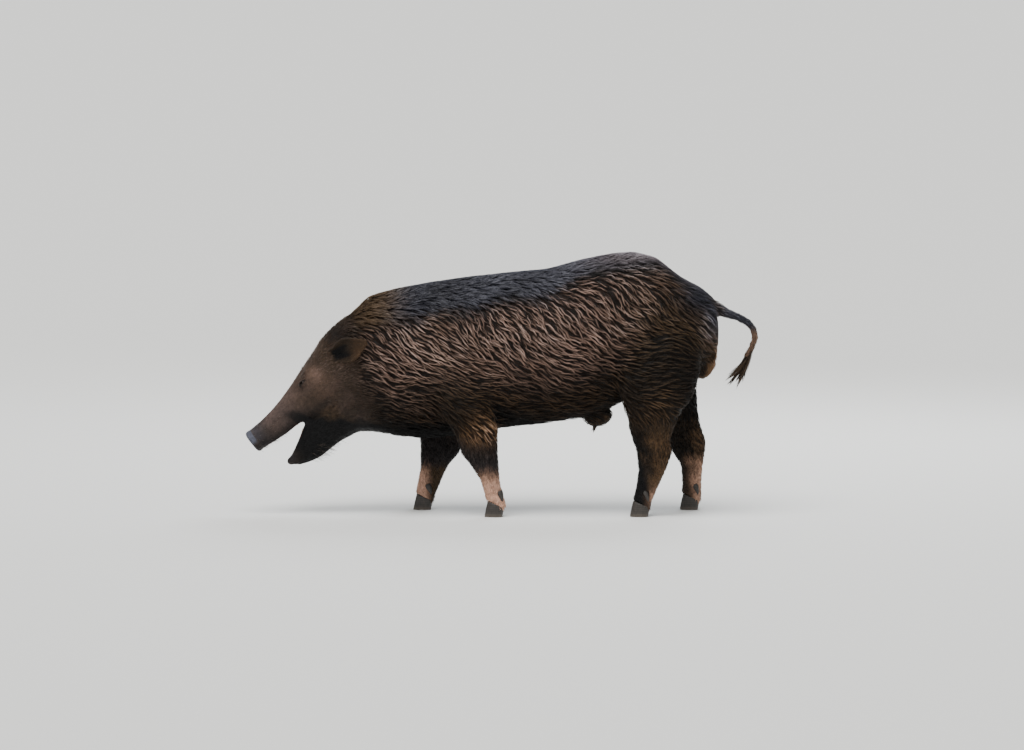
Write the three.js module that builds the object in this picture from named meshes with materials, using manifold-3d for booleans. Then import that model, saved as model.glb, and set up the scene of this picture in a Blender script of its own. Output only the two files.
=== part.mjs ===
// A grown male wild boar, walking slowly with its head low and its mouth open.
// Millimetres. +Z is up, the snout points along -Y and the boar's left side is +X.

import * as THREE from "three";
import Module from "manifold-3d";
import { LoftGeometry } from "three/addons/geometries/LoftGeometry.js";
import { mergeVertices } from "three/addons/utils/BufferGeometryUtils.js";

const wasm = await Module();
wasm.setup();

// ---------------------------------------------------------------------------
// Driving dimensions
// ---------------------------------------------------------------------------

const GAP = 0.3;                 // clearance between neighbouring pieces

const HEAD_PITCH = 38;           // degrees that the head hangs below level
const JAW_PITCH = 46.6;          // degrees that the open lower jaw hangs below level
const NOSE = { y: -658, z: 192 };        // centre of the nose disc
const CHIN = { y: -563, z: 137 };        // front end of the lower jaw
const MOUTH_CORNER = { y: -530, z: 239 };
const JAW_HINGE = { y: -440, z: 300 };
const JAW_ANGLE = { y: -395, z: 200 };
const POLL = { y: -375, z: 400 };        // where head meets neck, on the middle line
const NECK_PITCH = 20;           // degrees that the cut behind the head leans back

const NECK_END = -262;           // upright cuts through the trunk
const CHEST_END = -22;
const BARREL_END = 288;

const SNOUT_LENGTH = 112;
const DISC_THICKNESS = 12;
const DISC_HALF_WIDTH = 33;
const DISC_HALF_HEIGHT = 30.5;
const NOSTRIL_RADIUS = 4.6;
const NOSTRIL_DEPTH = 8;
const NOSTRIL_SPACING = 13;      // from the middle line

const EYE_RADIUS = 11.5;
const EYE = { side: 42.4, along: 200, above: 40.5 };   // in the head's own directions

const EAR = {
  root: { side: 70, y: -438, z: 428 },
  axis: { side: 0.44, y: 0.81, z: 0.36 },      // from the root to the tip
  mouth: { side: 0.8, y: -0.4, z: -0.2 },      // where the cup of the ear opens to
  length: 100,
  halfWidth: 35,
  thickness: 6,
  rootDepth: 14,
};

const HOOF = { height: 40, heelHeight: 22, crownSlope: 22 };   // the crown sinks towards the heel
const CLAW_SPACING = 13.4;       // from the middle of the foot
const CLAW_HALF_WIDTH = 12;
const DEWCLAW = {
  root: { side: 13, y: 10, z: 66 },      // from the middle of the foot
  direction: { side: 0.25, y: 0.42, z: -0.85 },
  length: 29,
  rootRadius: 8.5,
  tipRadius: 2.6,
};

const SHEATH = { y: 250, z: 264, halfLength: 43, halfWidth: 30, depth: 35 };
const SCROTUM = { y: 524, z: 425, halfLength: 47, halfWidth: 25, halfHeight: 70, spread: 21 };

// Reach above and below the head's axis, and half-width, at distances from the nose.
const HEAD = [
  [10, 30, 31, 32],
  [50, 31, 37, 31],
  [85, 35, 40, 33.5],
  [120, 42, 39, 39],
  [160, 54, 46, 50],
  [200, 69, 62, 62],
  [275, 97, 102, 82.5],
  [302, 106, 112, 86],
  [345, 112, 126, 90],
  [395, 114, 130, 86],
];

// The same for the lower jaw: upper and lower edge, and half-width, from the chin back.
const JAW = [
  [0, 9, -10, 15],
  [14, 10, -26, 20],
  [37, 18, -39, 25],
  [65, 29, -50, 30],
  [98, 43, -54, 38],
  [133, 43, -60, 50],
  [180, 41, -77, 63],
  [225, 26, -98, 69],
];

// Top, bottom and half-width of upright cuts, from the neck back to the tail.
const TRUNK = [
  [-430, 509, 215, 78],
  [-351, 578, 216, 98],
  [-271, 600, 203, 113],
  [-192, 616, 198, 124],
  [-90, 631, 212, 131],
  [20, 643, 229, 134],
  [120, 652, 239, 136],
  [206, 676, 252, 131],
  [285, 692, 276, 123],
  [345, 697, 312, 118],
  [405, 682, 344, 117],
  [471, 630, 350, 107],
  [524, 602, 366, 87],
  [556, 575, 404, 58],
];

// Horizontal cuts down a leg: height, place along the body, place across it,
// half-length along the body and half-width across it.
const LEGS = {
  foreleg_left: [
    [500, -168, 76, 66, 34],
    [400, -148, 86, 80, 42],
    [310, -107, 94, 79, 41],
    [245, -77, 98, 65, 34],
    [200, -64, 97, 53, 28],
    [166, -60, 96, 49, 26],
    [138, -47, 95, 38, 24.5],
    [98, -33, 93, 26, 19],
    [62, -24, 91, 24, 19],
    [36, -17, 89, 26, 24],
  ],
  foreleg_right: [
    [500, -190, -76, 66, 34],
    [400, -182, -86, 80, 42],
    [300, -166, -94, 77, 40],
    [225, -162, -98, 63, 32],
    [180, -163, -96, 58, 27],
    [150, -168, -95, 53, 26],
    [120, -181, -94, 38, 23],
    [90, -191, -92, 33, 19],
    [60, -200, -90, 30, 19],
    [36, -208, -88, 27, 24],
  ],
  hindleg_left: [
    [530, 432, 64, 84, 36],
    [450, 424, 80, 104, 49],
    [385, 412, 87, 113, 50],
    [318, 408, 92, 96, 45],
    [256, 394, 92, 66, 35],
    [205, 392, 90, 51, 26],
    [172, 401, 89, 48, 23],
    [120, 394, 87, 36.5, 19],
    [70, 379, 86, 28, 18.5],
    [36, 367, 85, 26, 24],
  ],
  hindleg_right: [
    [530, 440, -64, 84, 36],
    [450, 434, -80, 98, 49],
    [385, 428, -87, 96, 50],
    [318, 432, -92, 88, 45],
    [268, 462, -92, 58, 36],
    [225, 477, -90, 51, 27],
    [186, 490, -89, 53, 24],
    [156, 496, -88, 45, 22],
    [120, 505, -87, 30, 18.5],
    [76, 505, -86, 26, 18.5],
    [36, 504, -85, 27, 24],
  ],
};

const SHOULDER_CAP = 40;         // how far a leg's rounded head goes up into the trunk
const OUTWARD = 60;              // how far the parting of a leg reaches past the flank

// Heights at which a leg is divided into upper part, lower part and foot.
const FORELEG_CUTS = [222, 112];
const HINDLEG_CUTS = [262, 132];

// Middle line of the tail: place along the body, height and half-thickness.
const TAIL = [
  [545, 551, 21],
  [566, 544, 17.5],
  [594, 531, 13],
  [624, 521, 10.5],
  [650, 506, 10],
  [664, 488, 9.5],
  [669, 466, 9],
  [660, 440, 8.5],
  [645, 414, 9],
];
const TAIL_CUT = 604;            // where the root of the tail ends, along the body
const TUFT = [
  [645, 413, 9, 9],
  [633, 388, 17, 11],
  [621, 360, 25, 13],
  [612, 340, 19, 10],
  [606, 322, 8, 5],
];

// ---------------------------------------------------------------------------
// Colours and finishes
// ---------------------------------------------------------------------------

const finish = (color, roughness) => new THREE.MeshStandardMaterial({ color, roughness, metalness: 0 });

const COAT = finish(0x2a211d, 0.6);
const COAT_FLANK = finish(0x4a352b, 0.6);
const COAT_LEG = finish(0x3a2b26, 0.65);
const BARE_SKIN = finish(0x7d5b50, 0.55);
const NOSE_SKIN = finish(0x8d8f9c, 0.4);
const TONGUE = finish(0xa5605c, 0.35);
const HORN = finish(0x2c2724, 0.5);
const EYEBALL = finish(0x1a0f0a, 0.1);

// ---------------------------------------------------------------------------
// Solids
// ---------------------------------------------------------------------------

const X_AXIS = new THREE.Vector3(1, 0, 0);
const radians = THREE.MathUtils.degToRad;

// Turns a closed geometry into a solid that can be joined and cut.
function solid(geometry) {
  const bare = new THREE.BufferGeometry();
  bare.setAttribute("position", geometry.attributes.position);
  bare.setIndex(geometry.index);
  const merged = mergeVertices(bare, 1e-4);
  const triVerts = new Uint32Array(merged.index.array);
  const vertProperties = new Float32Array(merged.attributes.position.array);
  return new wasm.Manifold(new wasm.Mesh({ numProp: 3, vertProperties, triVerts }));
}

// One cross-section: a rounded outline with its own reach each way from the centre.
function outline(centre, upward, reach, shape) {
  const points = [];
  for (let i = 0; i < shape.around; i += 1) {
    const angle = (2 * Math.PI * i) / shape.around;
    const cosine = Math.cos(angle);
    const sine = Math.sin(angle);
    const power = 2 / (sine > 0 ? shape.crown : shape.keel);
    const sideways = cosine > 0 ? reach.left : reach.right;
    const upwards = sine > 0 ? reach.above : reach.below;
    const point = centre.clone();
    point.addScaledVector(X_AXIS, Math.sign(cosine) * Math.abs(cosine) ** power * sideways);
    point.addScaledVector(upward, Math.sign(sine) * Math.abs(sine) ** power * upwards);
    points.push(point);
  }
  return points;
}

// A body of rounded sections along a smooth line. `up` fixes the direction of every
// section; without it the sections stay square to the line. `start` and `end` are the
// lengths of the rounded ends, and `grow` swells the whole for a clearance.
function loft(stations, options) {
  const { up, between = 2, start = 0, end = 0, grow = 0 } = options;
  const shape = { around: 24, crown: 2, keel: 2, ...options };
  const smooth = (points) => new THREE.CatmullRomCurve3(points, false, "catmullrom", 0.5);
  const line = smooth(stations.map((s) => s.centre));
  const heights = smooth(stations.map((s) => new THREE.Vector3(s.above, s.below, 0)));
  const widths = smooth(stations.map((s) => new THREE.Vector3(s.left, s.right, 0)));
  const count = (stations.length - 1) * between;

  const sectionAt = (t, scale, shift) => {
    const tangent = line.getTangent(t);
    const upward = up ? up.clone() : new THREE.Vector3().crossVectors(X_AXIS, tangent).normalize();
    const forward = new THREE.Vector3().crossVectors(X_AXIS, upward);
    forward.multiplyScalar(Math.sign(forward.dot(tangent)));
    const height = heights.getPoint(t);
    const width = widths.getPoint(t);
    const reach = {
      above: (height.x + grow) * scale,
      below: (height.y + grow) * scale,
      left: (width.x + grow) * scale,
      right: (width.y + grow) * scale,
    };
    const centre = line.getPoint(t).addScaledVector(forward, shift);
    const points = outline(centre, upward, reach, shape);
    const clockwise = new THREE.Vector3().crossVectors(X_AXIS, upward).dot(tangent) < 0;
    return clockwise ? points.reverse() : points;
  };

  const capAngles = [72, 40].map(radians);
  const sections = [];
  const capAt = (t, angle, reach) => sectionAt(t, Math.cos(angle), reach * Math.sin(angle));
  if (start > 0) {
    capAngles.forEach((angle) => sections.push(capAt(0, angle, -(start + grow))));
  }
  for (let i = 0; i <= count; i += 1) {
    const overshoot = i === 0 && start === 0 ? -grow : i === count && end === 0 ? grow : 0;
    sections.push(sectionAt(i / count, 1, overshoot));
  }
  if (end > 0) {
    [...capAngles].reverse().forEach((angle) => sections.push(capAt(1, angle, end + grow)));
  }
  return solid(new LoftGeometry(sections, { capStart: true, capEnd: true }));
}

// A station with the same reach to the left and to the right of its centre.
function station(centre, above, below, half) {
  return { centre, above, below, left: half, right: half };
}

function ellipsoid(centre, halfWidth, halfLength, halfHeight, around, rings) {
  const ball = new THREE.SphereGeometry(1, around, rings);
  ball.rotateX(Math.PI / 2);
  ball.scale(halfWidth, halfLength, halfHeight);
  ball.translate(centre.x, centre.y, centre.z);
  return solid(ball);
}

// Keeps the side of a plane that its normal points to. `clearance` moves the plane on.
function keepSide(body, plane, clearance) {
  const { normal, point } = plane;
  return body.trimByPlane(normal.toArray(), normal.dot(point) + clearance);
}

// The same plane, facing the other way.
function turned({ normal, point }) {
  return { normal: normal.clone().negate(), point };
}

// Parts a body at a plane: what lies behind the plane, and what lies ahead of it.
function part(body, plane) {
  return [keepSide(body, turned(plane), GAP / 2), keepSide(body, plane, GAP / 2)];
}

const plane = (normal, point) => ({ normal: normal.clone().normalize(), point });

// ---------------------------------------------------------------------------
// Directions of the head and of the lower jaw
// ---------------------------------------------------------------------------

// A frame in the boar's middle plane: `along` runs back from `origin`, `up` is square to it.
function sloped(origin, pitch) {
  const angle = radians(pitch);
  const along = new THREE.Vector3(0, Math.cos(angle), Math.sin(angle));
  const up = new THREE.Vector3(0, -Math.sin(angle), Math.cos(angle));
  const start = new THREE.Vector3(0, origin.y, origin.z);
  const at = (distance, height = 0, side = 0) => {
    const inMiddlePlane = start.clone().addScaledVector(along, distance).addScaledVector(up, height);
    return inMiddlePlane.addScaledVector(X_AXIS, side);
  };
  return { along, up, at };
}

const headFrame = sloped(NOSE, HEAD_PITCH);
const jawFrame = sloped(CHIN, JAW_PITCH);

// ---------------------------------------------------------------------------
// Body pieces before they are parted
// ---------------------------------------------------------------------------

function trunkSolid() {
  const WIDEST = 0.46;           // height of the widest point, as a share of the depth
  const stations = TRUNK.map(([y, top, bottom, half]) => {
    const z = bottom + WIDEST * (top - bottom);
    return station(new THREE.Vector3(0, y, z), top - z, z - bottom, half);
  });
  const up = new THREE.Vector3(0, 0, 1);
  return loft(stations, { up, around: 22, between: 1, start: 40, end: 17, crown: 1.9, keel: 2.2 });
}

function headSolid() {
  const { at, up } = headFrame;
  const stations = HEAD.map(([along, above, below, half]) => station(at(along), above, below, half));
  return loft(stations, { up, around: 20, between: 1, end: 34, crown: 2.1, keel: 2.8 });
}

function jawSolid() {
  const stations = JAW.map(([s, top, bottom, half]) => {
    const middle = (top + bottom) / 2;
    return station(jawFrame.at(s, middle), top - middle, middle - bottom, half);
  });
  const { up } = jawFrame;
  return loft(stations, { up, around: 16, between: 1, start: 8, end: 25, crown: 4, keel: 2.2 });
}

// The hollow between the jaws: palate, floor of the mouth, and the way back to the throat.
function mouthHollow() {
  const hollow = (frame, stations, start, end) =>
    loft(stations, { up: frame.up, around: 8, between: 1, start, end });
  const palate = hollow(headFrame, [
    station(headFrame.at(17, -35), 10, 12, 15),
    station(headFrame.at(70, -41), 14, 14, 19),
    station(headFrame.at(130, -45), 16, 14, 24),
  ], 5, 5);
  const floor = hollow(jawFrame, [
    station(jawFrame.at(12, 12), 8, 10, 12),
    station(jawFrame.at(50, 26), 12, 16, 18),
    station(jawFrame.at(98, 44), 12, 17, 24),
  ], 4, 5);
  const throat = hollow(headFrame, [
    station(headFrame.at(112, -50), 14, 14, 24),
    station(headFrame.at(150, -58), 16, 14, 24),
    station(headFrame.at(188, -68), 11, 11, 17),
  ], 8, 10);
  return palate.add(floor).add(throat);
}

function tongueSolid(grow = 0) {
  const stations = [
    station(jawFrame.at(26, 9), 5, 5, 9),
    station(jawFrame.at(55, 20), 7, 7, 13),
    station(jawFrame.at(92, 35), 8, 9, 16),
    station(jawFrame.at(120, 45), 7, 8, 15),
  ];
  return loft(stations, { up: jawFrame.up, around: 8, between: 1, start: 7, end: 8, grow });
}

// Short teeth along both sides of a jaw. Their tips stay behind the edge of the lip,
// whose height above the jaw's axis goes from `lip.front` to `lip.back`.
function teeth(frame, { count, from, to, spread, lip, bend, towards }) {
  const LENGTH = 11;
  const BEHIND_LIP = 2.5;
  const placed = [];
  for (const side of [-1, 1]) {
    for (let i = 0; i < count; i += 1) {
      const share = i / (count - 1);
      const along = THREE.MathUtils.lerp(from, to, share);
      const aside = THREE.MathUtils.lerp(spread.front, spread.back, share ** 0.6);
      const tip = THREE.MathUtils.lerp(lip.front, lip.back, share ** bend) - towards * BEHIND_LIP;
      const tooth = new THREE.CylinderGeometry(2, 3.4, LENGTH, 4);
      tooth.rotateX(towards > 0 ? 0 : Math.PI);
      tooth.applyMatrix4(new THREE.Matrix4().makeBasis(X_AXIS, frame.up, frame.along.clone().negate()));
      tooth.translate(...frame.at(along, tip - towards * LENGTH / 2, side * aside).toArray());
      placed.push(solid(tooth));
    }
  }
  return placed.reduce((all, tooth) => all.add(tooth));
}

const lowerTeeth = () => teeth(jawFrame, {
  count: 4,
  from: 9,
  to: 84,
  spread: { front: 4, back: 21 },
  lip: { front: 9, back: 37 },
  bend: 1.35,
  towards: 1,
});

const upperTeeth = () => teeth(headFrame, {
  count: 4,
  from: 20,
  to: 118,
  spread: { front: 5, back: 21 },
  lip: { front: -32, back: -38 },
  bend: 1,
  towards: -1,
});

// A leg. `outward` widens it away from the body, for the space that the leg takes
// out of the shoulder or the haunch.
function legSolid(rows, { grow = 0, outward = 0 } = {}) {
  const up = new THREE.Vector3(0, 1, 0);
  const [, ...heel] = rows[rows.length - 1];
  const stations = [...rows, [HOOF.heelHeight, ...heel]].map(([z, y, x, halfLength, halfWidth]) => ({
    centre: new THREE.Vector3(x, y, z),
    above: halfLength,
    below: halfLength,
    left: halfWidth + (x > 0 ? outward : 0),
    right: halfWidth + (x < 0 ? outward : 0),
  }));
  return loft(stations, { up, around: 12, between: 1, start: SHOULDER_CAP, grow });
}

function tailSolid(grow = 0) {
  const stations = TAIL.map(([y, z, half]) => station(new THREE.Vector3(0, y, z), half, half, half));
  return loft(stations, { around: 8, between: 1, start: 12, grow });
}

function tuftSolid() {
  const stations = TUFT.map(([y, z, halfLength, halfWidth]) =>
    station(new THREE.Vector3(0, y, z), halfLength, halfLength, halfWidth));
  return loft(stations, { around: 8, between: 1, end: 8 });
}

function scrotumSolid(grow = 0) {
  const { y, z, halfLength, halfWidth, halfHeight, spread } = SCROTUM;
  const lobes = [-1, 1].map((side) =>
    ellipsoid(
      new THREE.Vector3(side * spread, y, z),
      halfWidth + grow, halfLength + grow, halfHeight + grow, 10, 6,
    ));
  return lobes[0].add(lobes[1]);
}

function sheathSolid(grow = 0) {
  const { y, z, halfLength, halfWidth, depth } = SHEATH;
  const centre = new THREE.Vector3(0, y, z);
  return ellipsoid(centre, halfWidth + grow, halfLength + grow, depth + grow, 10, 6);
}

// ---------------------------------------------------------------------------
// Eyes, ears, nose disc, hooves
// ---------------------------------------------------------------------------

function eyeSolid(side, grow = 0) {
  const ball = new THREE.SphereGeometry(EYE_RADIUS + grow, 8, 6);
  ball.translate(...headFrame.at(EYE.along, EYE.above, side * EYE.side).toArray());
  return solid(ball);
}

// Half the width of the leaf of the ear, as a share of its widest, from root 0 to tip 1.
function earLeaf(rise) {
  const swell = 0.62 + 0.38 * Math.sin(Math.PI * Math.min(1, rise * 1.25));
  return swell * Math.sqrt(1 - 0.94 * rise ** 2.6);
}

// A leaf-shaped cup that leans back and outwards, open to the side and the front. Each
// cross-section is a curved strip, curled tight at the root and nearly flat at the tip.
function earSolid(side, grow = 0) {
  const mirrored = (way) => new THREE.Vector3(side * way.side, way.y, way.z);
  const root = mirrored(EAR.root);
  const axis = mirrored(EAR.axis).normalize();
  const open = mirrored(EAR.mouth);
  open.addScaledVector(axis, -open.dot(axis)).normalize();
  const across = new THREE.Vector3().crossVectors(axis, open).normalize();
  const ROWS = 6;
  const COLUMNS = 6;
  const FLATTEN = { across: 0.8, open: 0.62 };
  const sections = [];
  for (let i = 0; i <= ROWS; i += 1) {
    const along = THREE.MathUtils.lerp(-EAR.rootDepth - grow, EAR.length + grow, i / ROWS);
    const rise = THREE.MathUtils.clamp(along / EAR.length, 0, 1);
    const half = EAR.halfWidth * earLeaf(rise) + grow;
    const thickness = EAR.thickness * (1.25 - 0.55 * rise) + 2 * grow;
    const curl = THREE.MathUtils.lerp(0.95, 0.32, rise);
    const radius = half / Math.max(0.35, curl);
    const strip = (offset) => Array.from({ length: COLUMNS + 1 }, (_, k) => {
      const bend = ((2 * k) / COLUMNS - 1) * curl * (Math.PI / 2);
      const point = root.clone().addScaledVector(axis, along);
      point.addScaledVector(across, (radius - offset) * Math.sin(bend) * FLATTEN.across);
      return point.addScaledVector(open, radius * FLATTEN.open * (1 - Math.cos(bend)) + offset);
    });
    const outer = strip(-thickness / 2);
    const inner = strip(thickness / 2);
    sections.push([...outer, ...inner.reverse()].reverse());
  }
  return solid(new LoftGeometry(sections, { capStart: true, capEnd: true }));
}

function discSolid() {
  const disc = loft(
    [
      station(headFrame.at(-8), DISC_HALF_HEIGHT - 5, DISC_HALF_HEIGHT - 5, DISC_HALF_WIDTH - 5),
      station(headFrame.at(-5), DISC_HALF_HEIGHT, DISC_HALF_HEIGHT, DISC_HALF_WIDTH),
      station(headFrame.at(2), DISC_HALF_HEIGHT + 0.5, DISC_HALF_HEIGHT + 0.5, DISC_HALF_WIDTH),
      station(headFrame.at(DISC_THICKNESS - GAP), 29, 29, 31),
    ],
    { up: headFrame.up, around: 16, between: 1, crown: 2.2, keel: 2.2 },
  );
  const nostrils = [-1, 1].map((side) => {
    const bore = new THREE.CylinderGeometry(NOSTRIL_RADIUS, NOSTRIL_RADIUS * 0.8, NOSTRIL_DEPTH * 2, 6);
    bore.rotateZ(Math.PI / 2);
    bore.rotateY(Math.PI / 2);
    const turn = new THREE.Matrix4().makeBasis(X_AXIS, headFrame.up, headFrame.along.clone().negate());
    bore.applyMatrix4(turn);
    bore.translate(...headFrame.at(-8, 2, side * NOSTRIL_SPACING).toArray());
    return solid(bore);
  });
  return disc.subtract(nostrils[0]).subtract(nostrils[1]);
}

// One claw of a cloven hoof: a flat D-shaped sole and a wall that leans forward.
function clawSolid(x, y) {
  const FRONT = [31, 27, 22];
  const BACK = [17, 20, 19];
  const WIDTH = [1, 1.03, 0.86];
  const sections = FRONT.map((front, i) => {
    const z = HOOF.height * (i / (FRONT.length - 1));
    const centre = new THREE.Vector3(x, y, z);
    const half = CLAW_HALF_WIDTH * WIDTH[i];
    const reach = { above: BACK[i], below: front, left: half, right: half };
    return outline(centre, new THREE.Vector3(0, 1, 0), reach, { around: 8, crown: 2.6, keel: 2 });
  });
  return solid(new LoftGeometry(sections, { capStart: true, capEnd: true }));
}

// A dewclaw points down and back from its root behind the pastern.
function dewclawSolid(x, y, side, grow = 0) {
  const { root, direction, length, rootRadius, tipRadius } = DEWCLAW;
  const heading = new THREE.Vector3(side * direction.side, direction.y, direction.z).normalize();
  const cone = new THREE.CylinderGeometry(tipRadius + grow, rootRadius + grow, length + grow, 6);
  cone.applyQuaternion(new THREE.Quaternion().setFromUnitVectors(new THREE.Vector3(0, 1, 0), heading));
  const middle = new THREE.Vector3(x + side * root.side, y + root.y, root.z);
  cone.translate(...middle.addScaledVector(heading, length / 2).toArray());
  return solid(cone);
}

// ---------------------------------------------------------------------------
// Parting the body
// ---------------------------------------------------------------------------

const pieces = [];

// Cutting can leave crumbs at the edges of a piece, so only its main body is kept.
function addPiece(name, body, material) {
  const [main] = body.decompose().sort((a, b) => b.volume() - a.volume());
  pieces.push({ name, body: main, material });
}

const legNames = Object.keys(LEGS);
const legs = Object.fromEntries(legNames.map((name) => [name, legSolid(LEGS[name])]));
const whole = Object.values(legs)
  .reduce((all, leg) => all.add(leg), trunkSolid().add(headSolid()).add(jawSolid()))
  .subtract(mouthHollow());

const BACKWARD = new THREE.Vector3(0, 1, 0);
const UPWARD = new THREE.Vector3(0, 0, 1);
const upright = (y) => plane(BACKWARD, new THREE.Vector3(0, y, 0));
const level = (z) => plane(UPWARD, new THREE.Vector3(0, 0, z));

// Where a foot meets its hooves: highest in front and sinking towards the heel.
function crownPlane(footY) {
  const CROWN_FRONT = 16;        // how far in front of the foot's middle the crown begins
  const angle = radians(HOOF.crownSlope);
  const normal = new THREE.Vector3(0, Math.sin(angle), Math.cos(angle));
  return plane(normal, new THREE.Vector3(0, footY - CROWN_FRONT, HOOF.height));
}

// Legs: everything of the body inside the space that a leg takes.
const scrotumSpace = scrotumSolid(GAP);
const legSpaces = legNames.map((name) => legSolid(LEGS[name], { grow: GAP, outward: OUTWARD }));
legNames.forEach((name) => {
  const space = legSolid(LEGS[name], { outward: OUTWARD });
  const rows = LEGS[name];
  const [, footY, footX] = rows[rows.length - 1];
  const [upperCut, footCut] = name.startsWith("fore") ? FORELEG_CUTS : HINDLEG_CUTS;
  const crown = crownPlane(footY);
  const leg = keepSide(whole.intersect(space).subtract(scrotumSpace), crown, 0);
  const [below, upper] = part(leg, level(upperCut));
  const [foot, lower] = part(below, level(footCut));
  const dewSpaces = [-1, 1].map((side) => dewclawSolid(footX, footY, side, GAP));
  addPiece(`${name}_upper`, upper, COAT_LEG);
  addPiece(`${name}_lower`, lower, COAT_LEG);
  addPiece(`${name}_foot`, foot.subtract(dewSpaces[0]).subtract(dewSpaces[1]), BARE_SKIN);
  [-1, 1].forEach((side) => {
    const hand = side > 0 ? "left" : "right";
    const claw = keepSide(clawSolid(footX + side * CLAW_SPACING, footY), turned(crown), GAP);
    addPiece(`${name}_claw_${hand}`, claw, HORN);
    addPiece(`${name}_dewclaw_${hand}`, dewclawSolid(footX, footY, side), HORN);
  });
});

// Trunk, neck and head: what is left of the body, divided by planes.
const earSpaces = [earSolid(1, GAP), earSolid(-1, GAP)];
const cutOuts = [tailSolid(GAP), scrotumSpace, sheathSolid(GAP), ...earSpaces];
const torso = [...legSpaces, ...cutOuts].reduce((body, space) => body.subtract(space), whole);
const neckAngle = radians(NECK_PITCH);
const poll = plane(
  new THREE.Vector3(0, Math.cos(neckAngle), Math.sin(neckAngle)),
  new THREE.Vector3(0, POLL.y, POLL.z),
);
const [headAll, behindHead] = part(torso, poll);
const [neck, behindNeck] = part(behindHead, upright(NECK_END));
const [chest, behindChest] = part(behindNeck, upright(CHEST_END));
const [barrel, rump] = part(behindChest, upright(BARREL_END));
addPiece("neck", neck, COAT_FLANK);
addPiece("chest", chest, COAT_FLANK);
addPiece("barrel", barrel, COAT_FLANK);
addPiece("rump", rump, COAT);

// The lower jaw lies inside a wedge: below the line from the corner of the mouth to the
// hinge, ahead of the line from the hinge to the angle of the jaw, and below the gape.
const inMiddle = ({ y, z }) => new THREE.Vector3(0, y, z);
const squareTo = (from, to) =>
  new THREE.Vector3().crossVectors(X_AXIS, inMiddle(to).sub(inMiddle(from)));
const GAPE_TURN = 9;             // degrees from the middle of the two pitches to the gape
const gapeAngle = radians((HEAD_PITCH + JAW_PITCH) / 2 + GAPE_TURN);
const gapeLine = {
  y: MOUTH_CORNER.y - Math.cos(gapeAngle),
  z: MOUTH_CORNER.z - Math.sin(gapeAngle),
};
const wedge = [
  plane(squareTo(JAW_HINGE, MOUTH_CORNER), inMiddle(MOUTH_CORNER)),
  plane(squareTo(JAW_ANGLE, JAW_HINGE), inMiddle(JAW_HINGE)),
  plane(squareTo(MOUTH_CORNER, gapeLine), inMiddle(MOUTH_CORNER)),
];
const BLOCK_SIZE = 600;          // larger than the head each way
const wedgeSolid = (clearance) => {
  const block = new THREE.BoxGeometry(BLOCK_SIZE, BLOCK_SIZE, BLOCK_SIZE);
  block.translate(0, MOUTH_CORNER.y, MOUTH_CORNER.z);
  return wedge.reduce((body, side) => keepSide(body, side, clearance), solid(block));
};
const jaw = headAll.intersect(wedgeSolid(GAP / 2)).add(lowerTeeth()).subtract(tongueSolid(GAP));
const skull = headAll
  .subtract(wedgeSolid(-GAP / 2))
  .subtract(eyeSolid(1, GAP))
  .subtract(eyeSolid(-1, GAP));
const [muzzle, cranium] = part(skull, plane(headFrame.along, headFrame.at(SNOUT_LENGTH)));
const snout = keepSide(muzzle, plane(headFrame.along, headFrame.at(DISC_THICKNESS)), 0);
addPiece("head", cranium.subtract(tongueSolid(GAP)), COAT);
addPiece("snout", snout.add(upperTeeth()), BARE_SKIN);
addPiece("snout_disc", discSolid(), NOSE_SKIN);
addPiece("lower_jaw", jaw, COAT_LEG);
addPiece("tongue", tongueSolid(), TONGUE);
addPiece("eye_left", eyeSolid(1), EYEBALL);
addPiece("eye_right", eyeSolid(-1), EYEBALL);
addPiece("ear_left", earSolid(1), COAT);
addPiece("ear_right", earSolid(-1), COAT);

const [tailRoot, tailCurl] = part(tailSolid(), upright(TAIL_CUT));
addPiece("tail_root", tailRoot, COAT);
addPiece("tail_curl", tailCurl, COAT);
addPiece("tail_tuft", tuftSolid(), COAT);
addPiece("sheath", sheathSolid(), BARE_SKIN);
addPiece("scrotum", scrotumSolid(), BARE_SKIN);

// ---------------------------------------------------------------------------
// The model
// ---------------------------------------------------------------------------

function meshOf({ name, body, material }) {
  const { vertProperties, triVerts } = body.getMesh();
  const geometry = new THREE.BufferGeometry();
  geometry.setAttribute("position", new THREE.BufferAttribute(vertProperties, 3));
  geometry.setIndex(new THREE.BufferAttribute(triVerts, 1));
  geometry.computeVertexNormals();
  const mesh = new THREE.Mesh(geometry, material);
  mesh.name = name;
  return mesh;
}

const boar = new THREE.Group();
boar.name = "wild_boar";
pieces.forEach((piece) => boar.add(meshOf(piece)));

// The origin is on the floor, under the middle of the whole boar.
const middle = new THREE.Box3().setFromObject(boar).getCenter(new THREE.Vector3());
boar.position.set(-middle.x, -middle.y, 0);
boar.updateMatrixWorld(true);

export default boar;
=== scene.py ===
# %% [markdown]
# # A wild boar as a museum model
# The animal is a grown male, life size, walking with its head down and its mouth open. The
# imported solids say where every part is. This lesson turns them into one living skin, and then
# lays a wet, wavy coat over it, lock by lock. All lengths are in metres.

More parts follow.
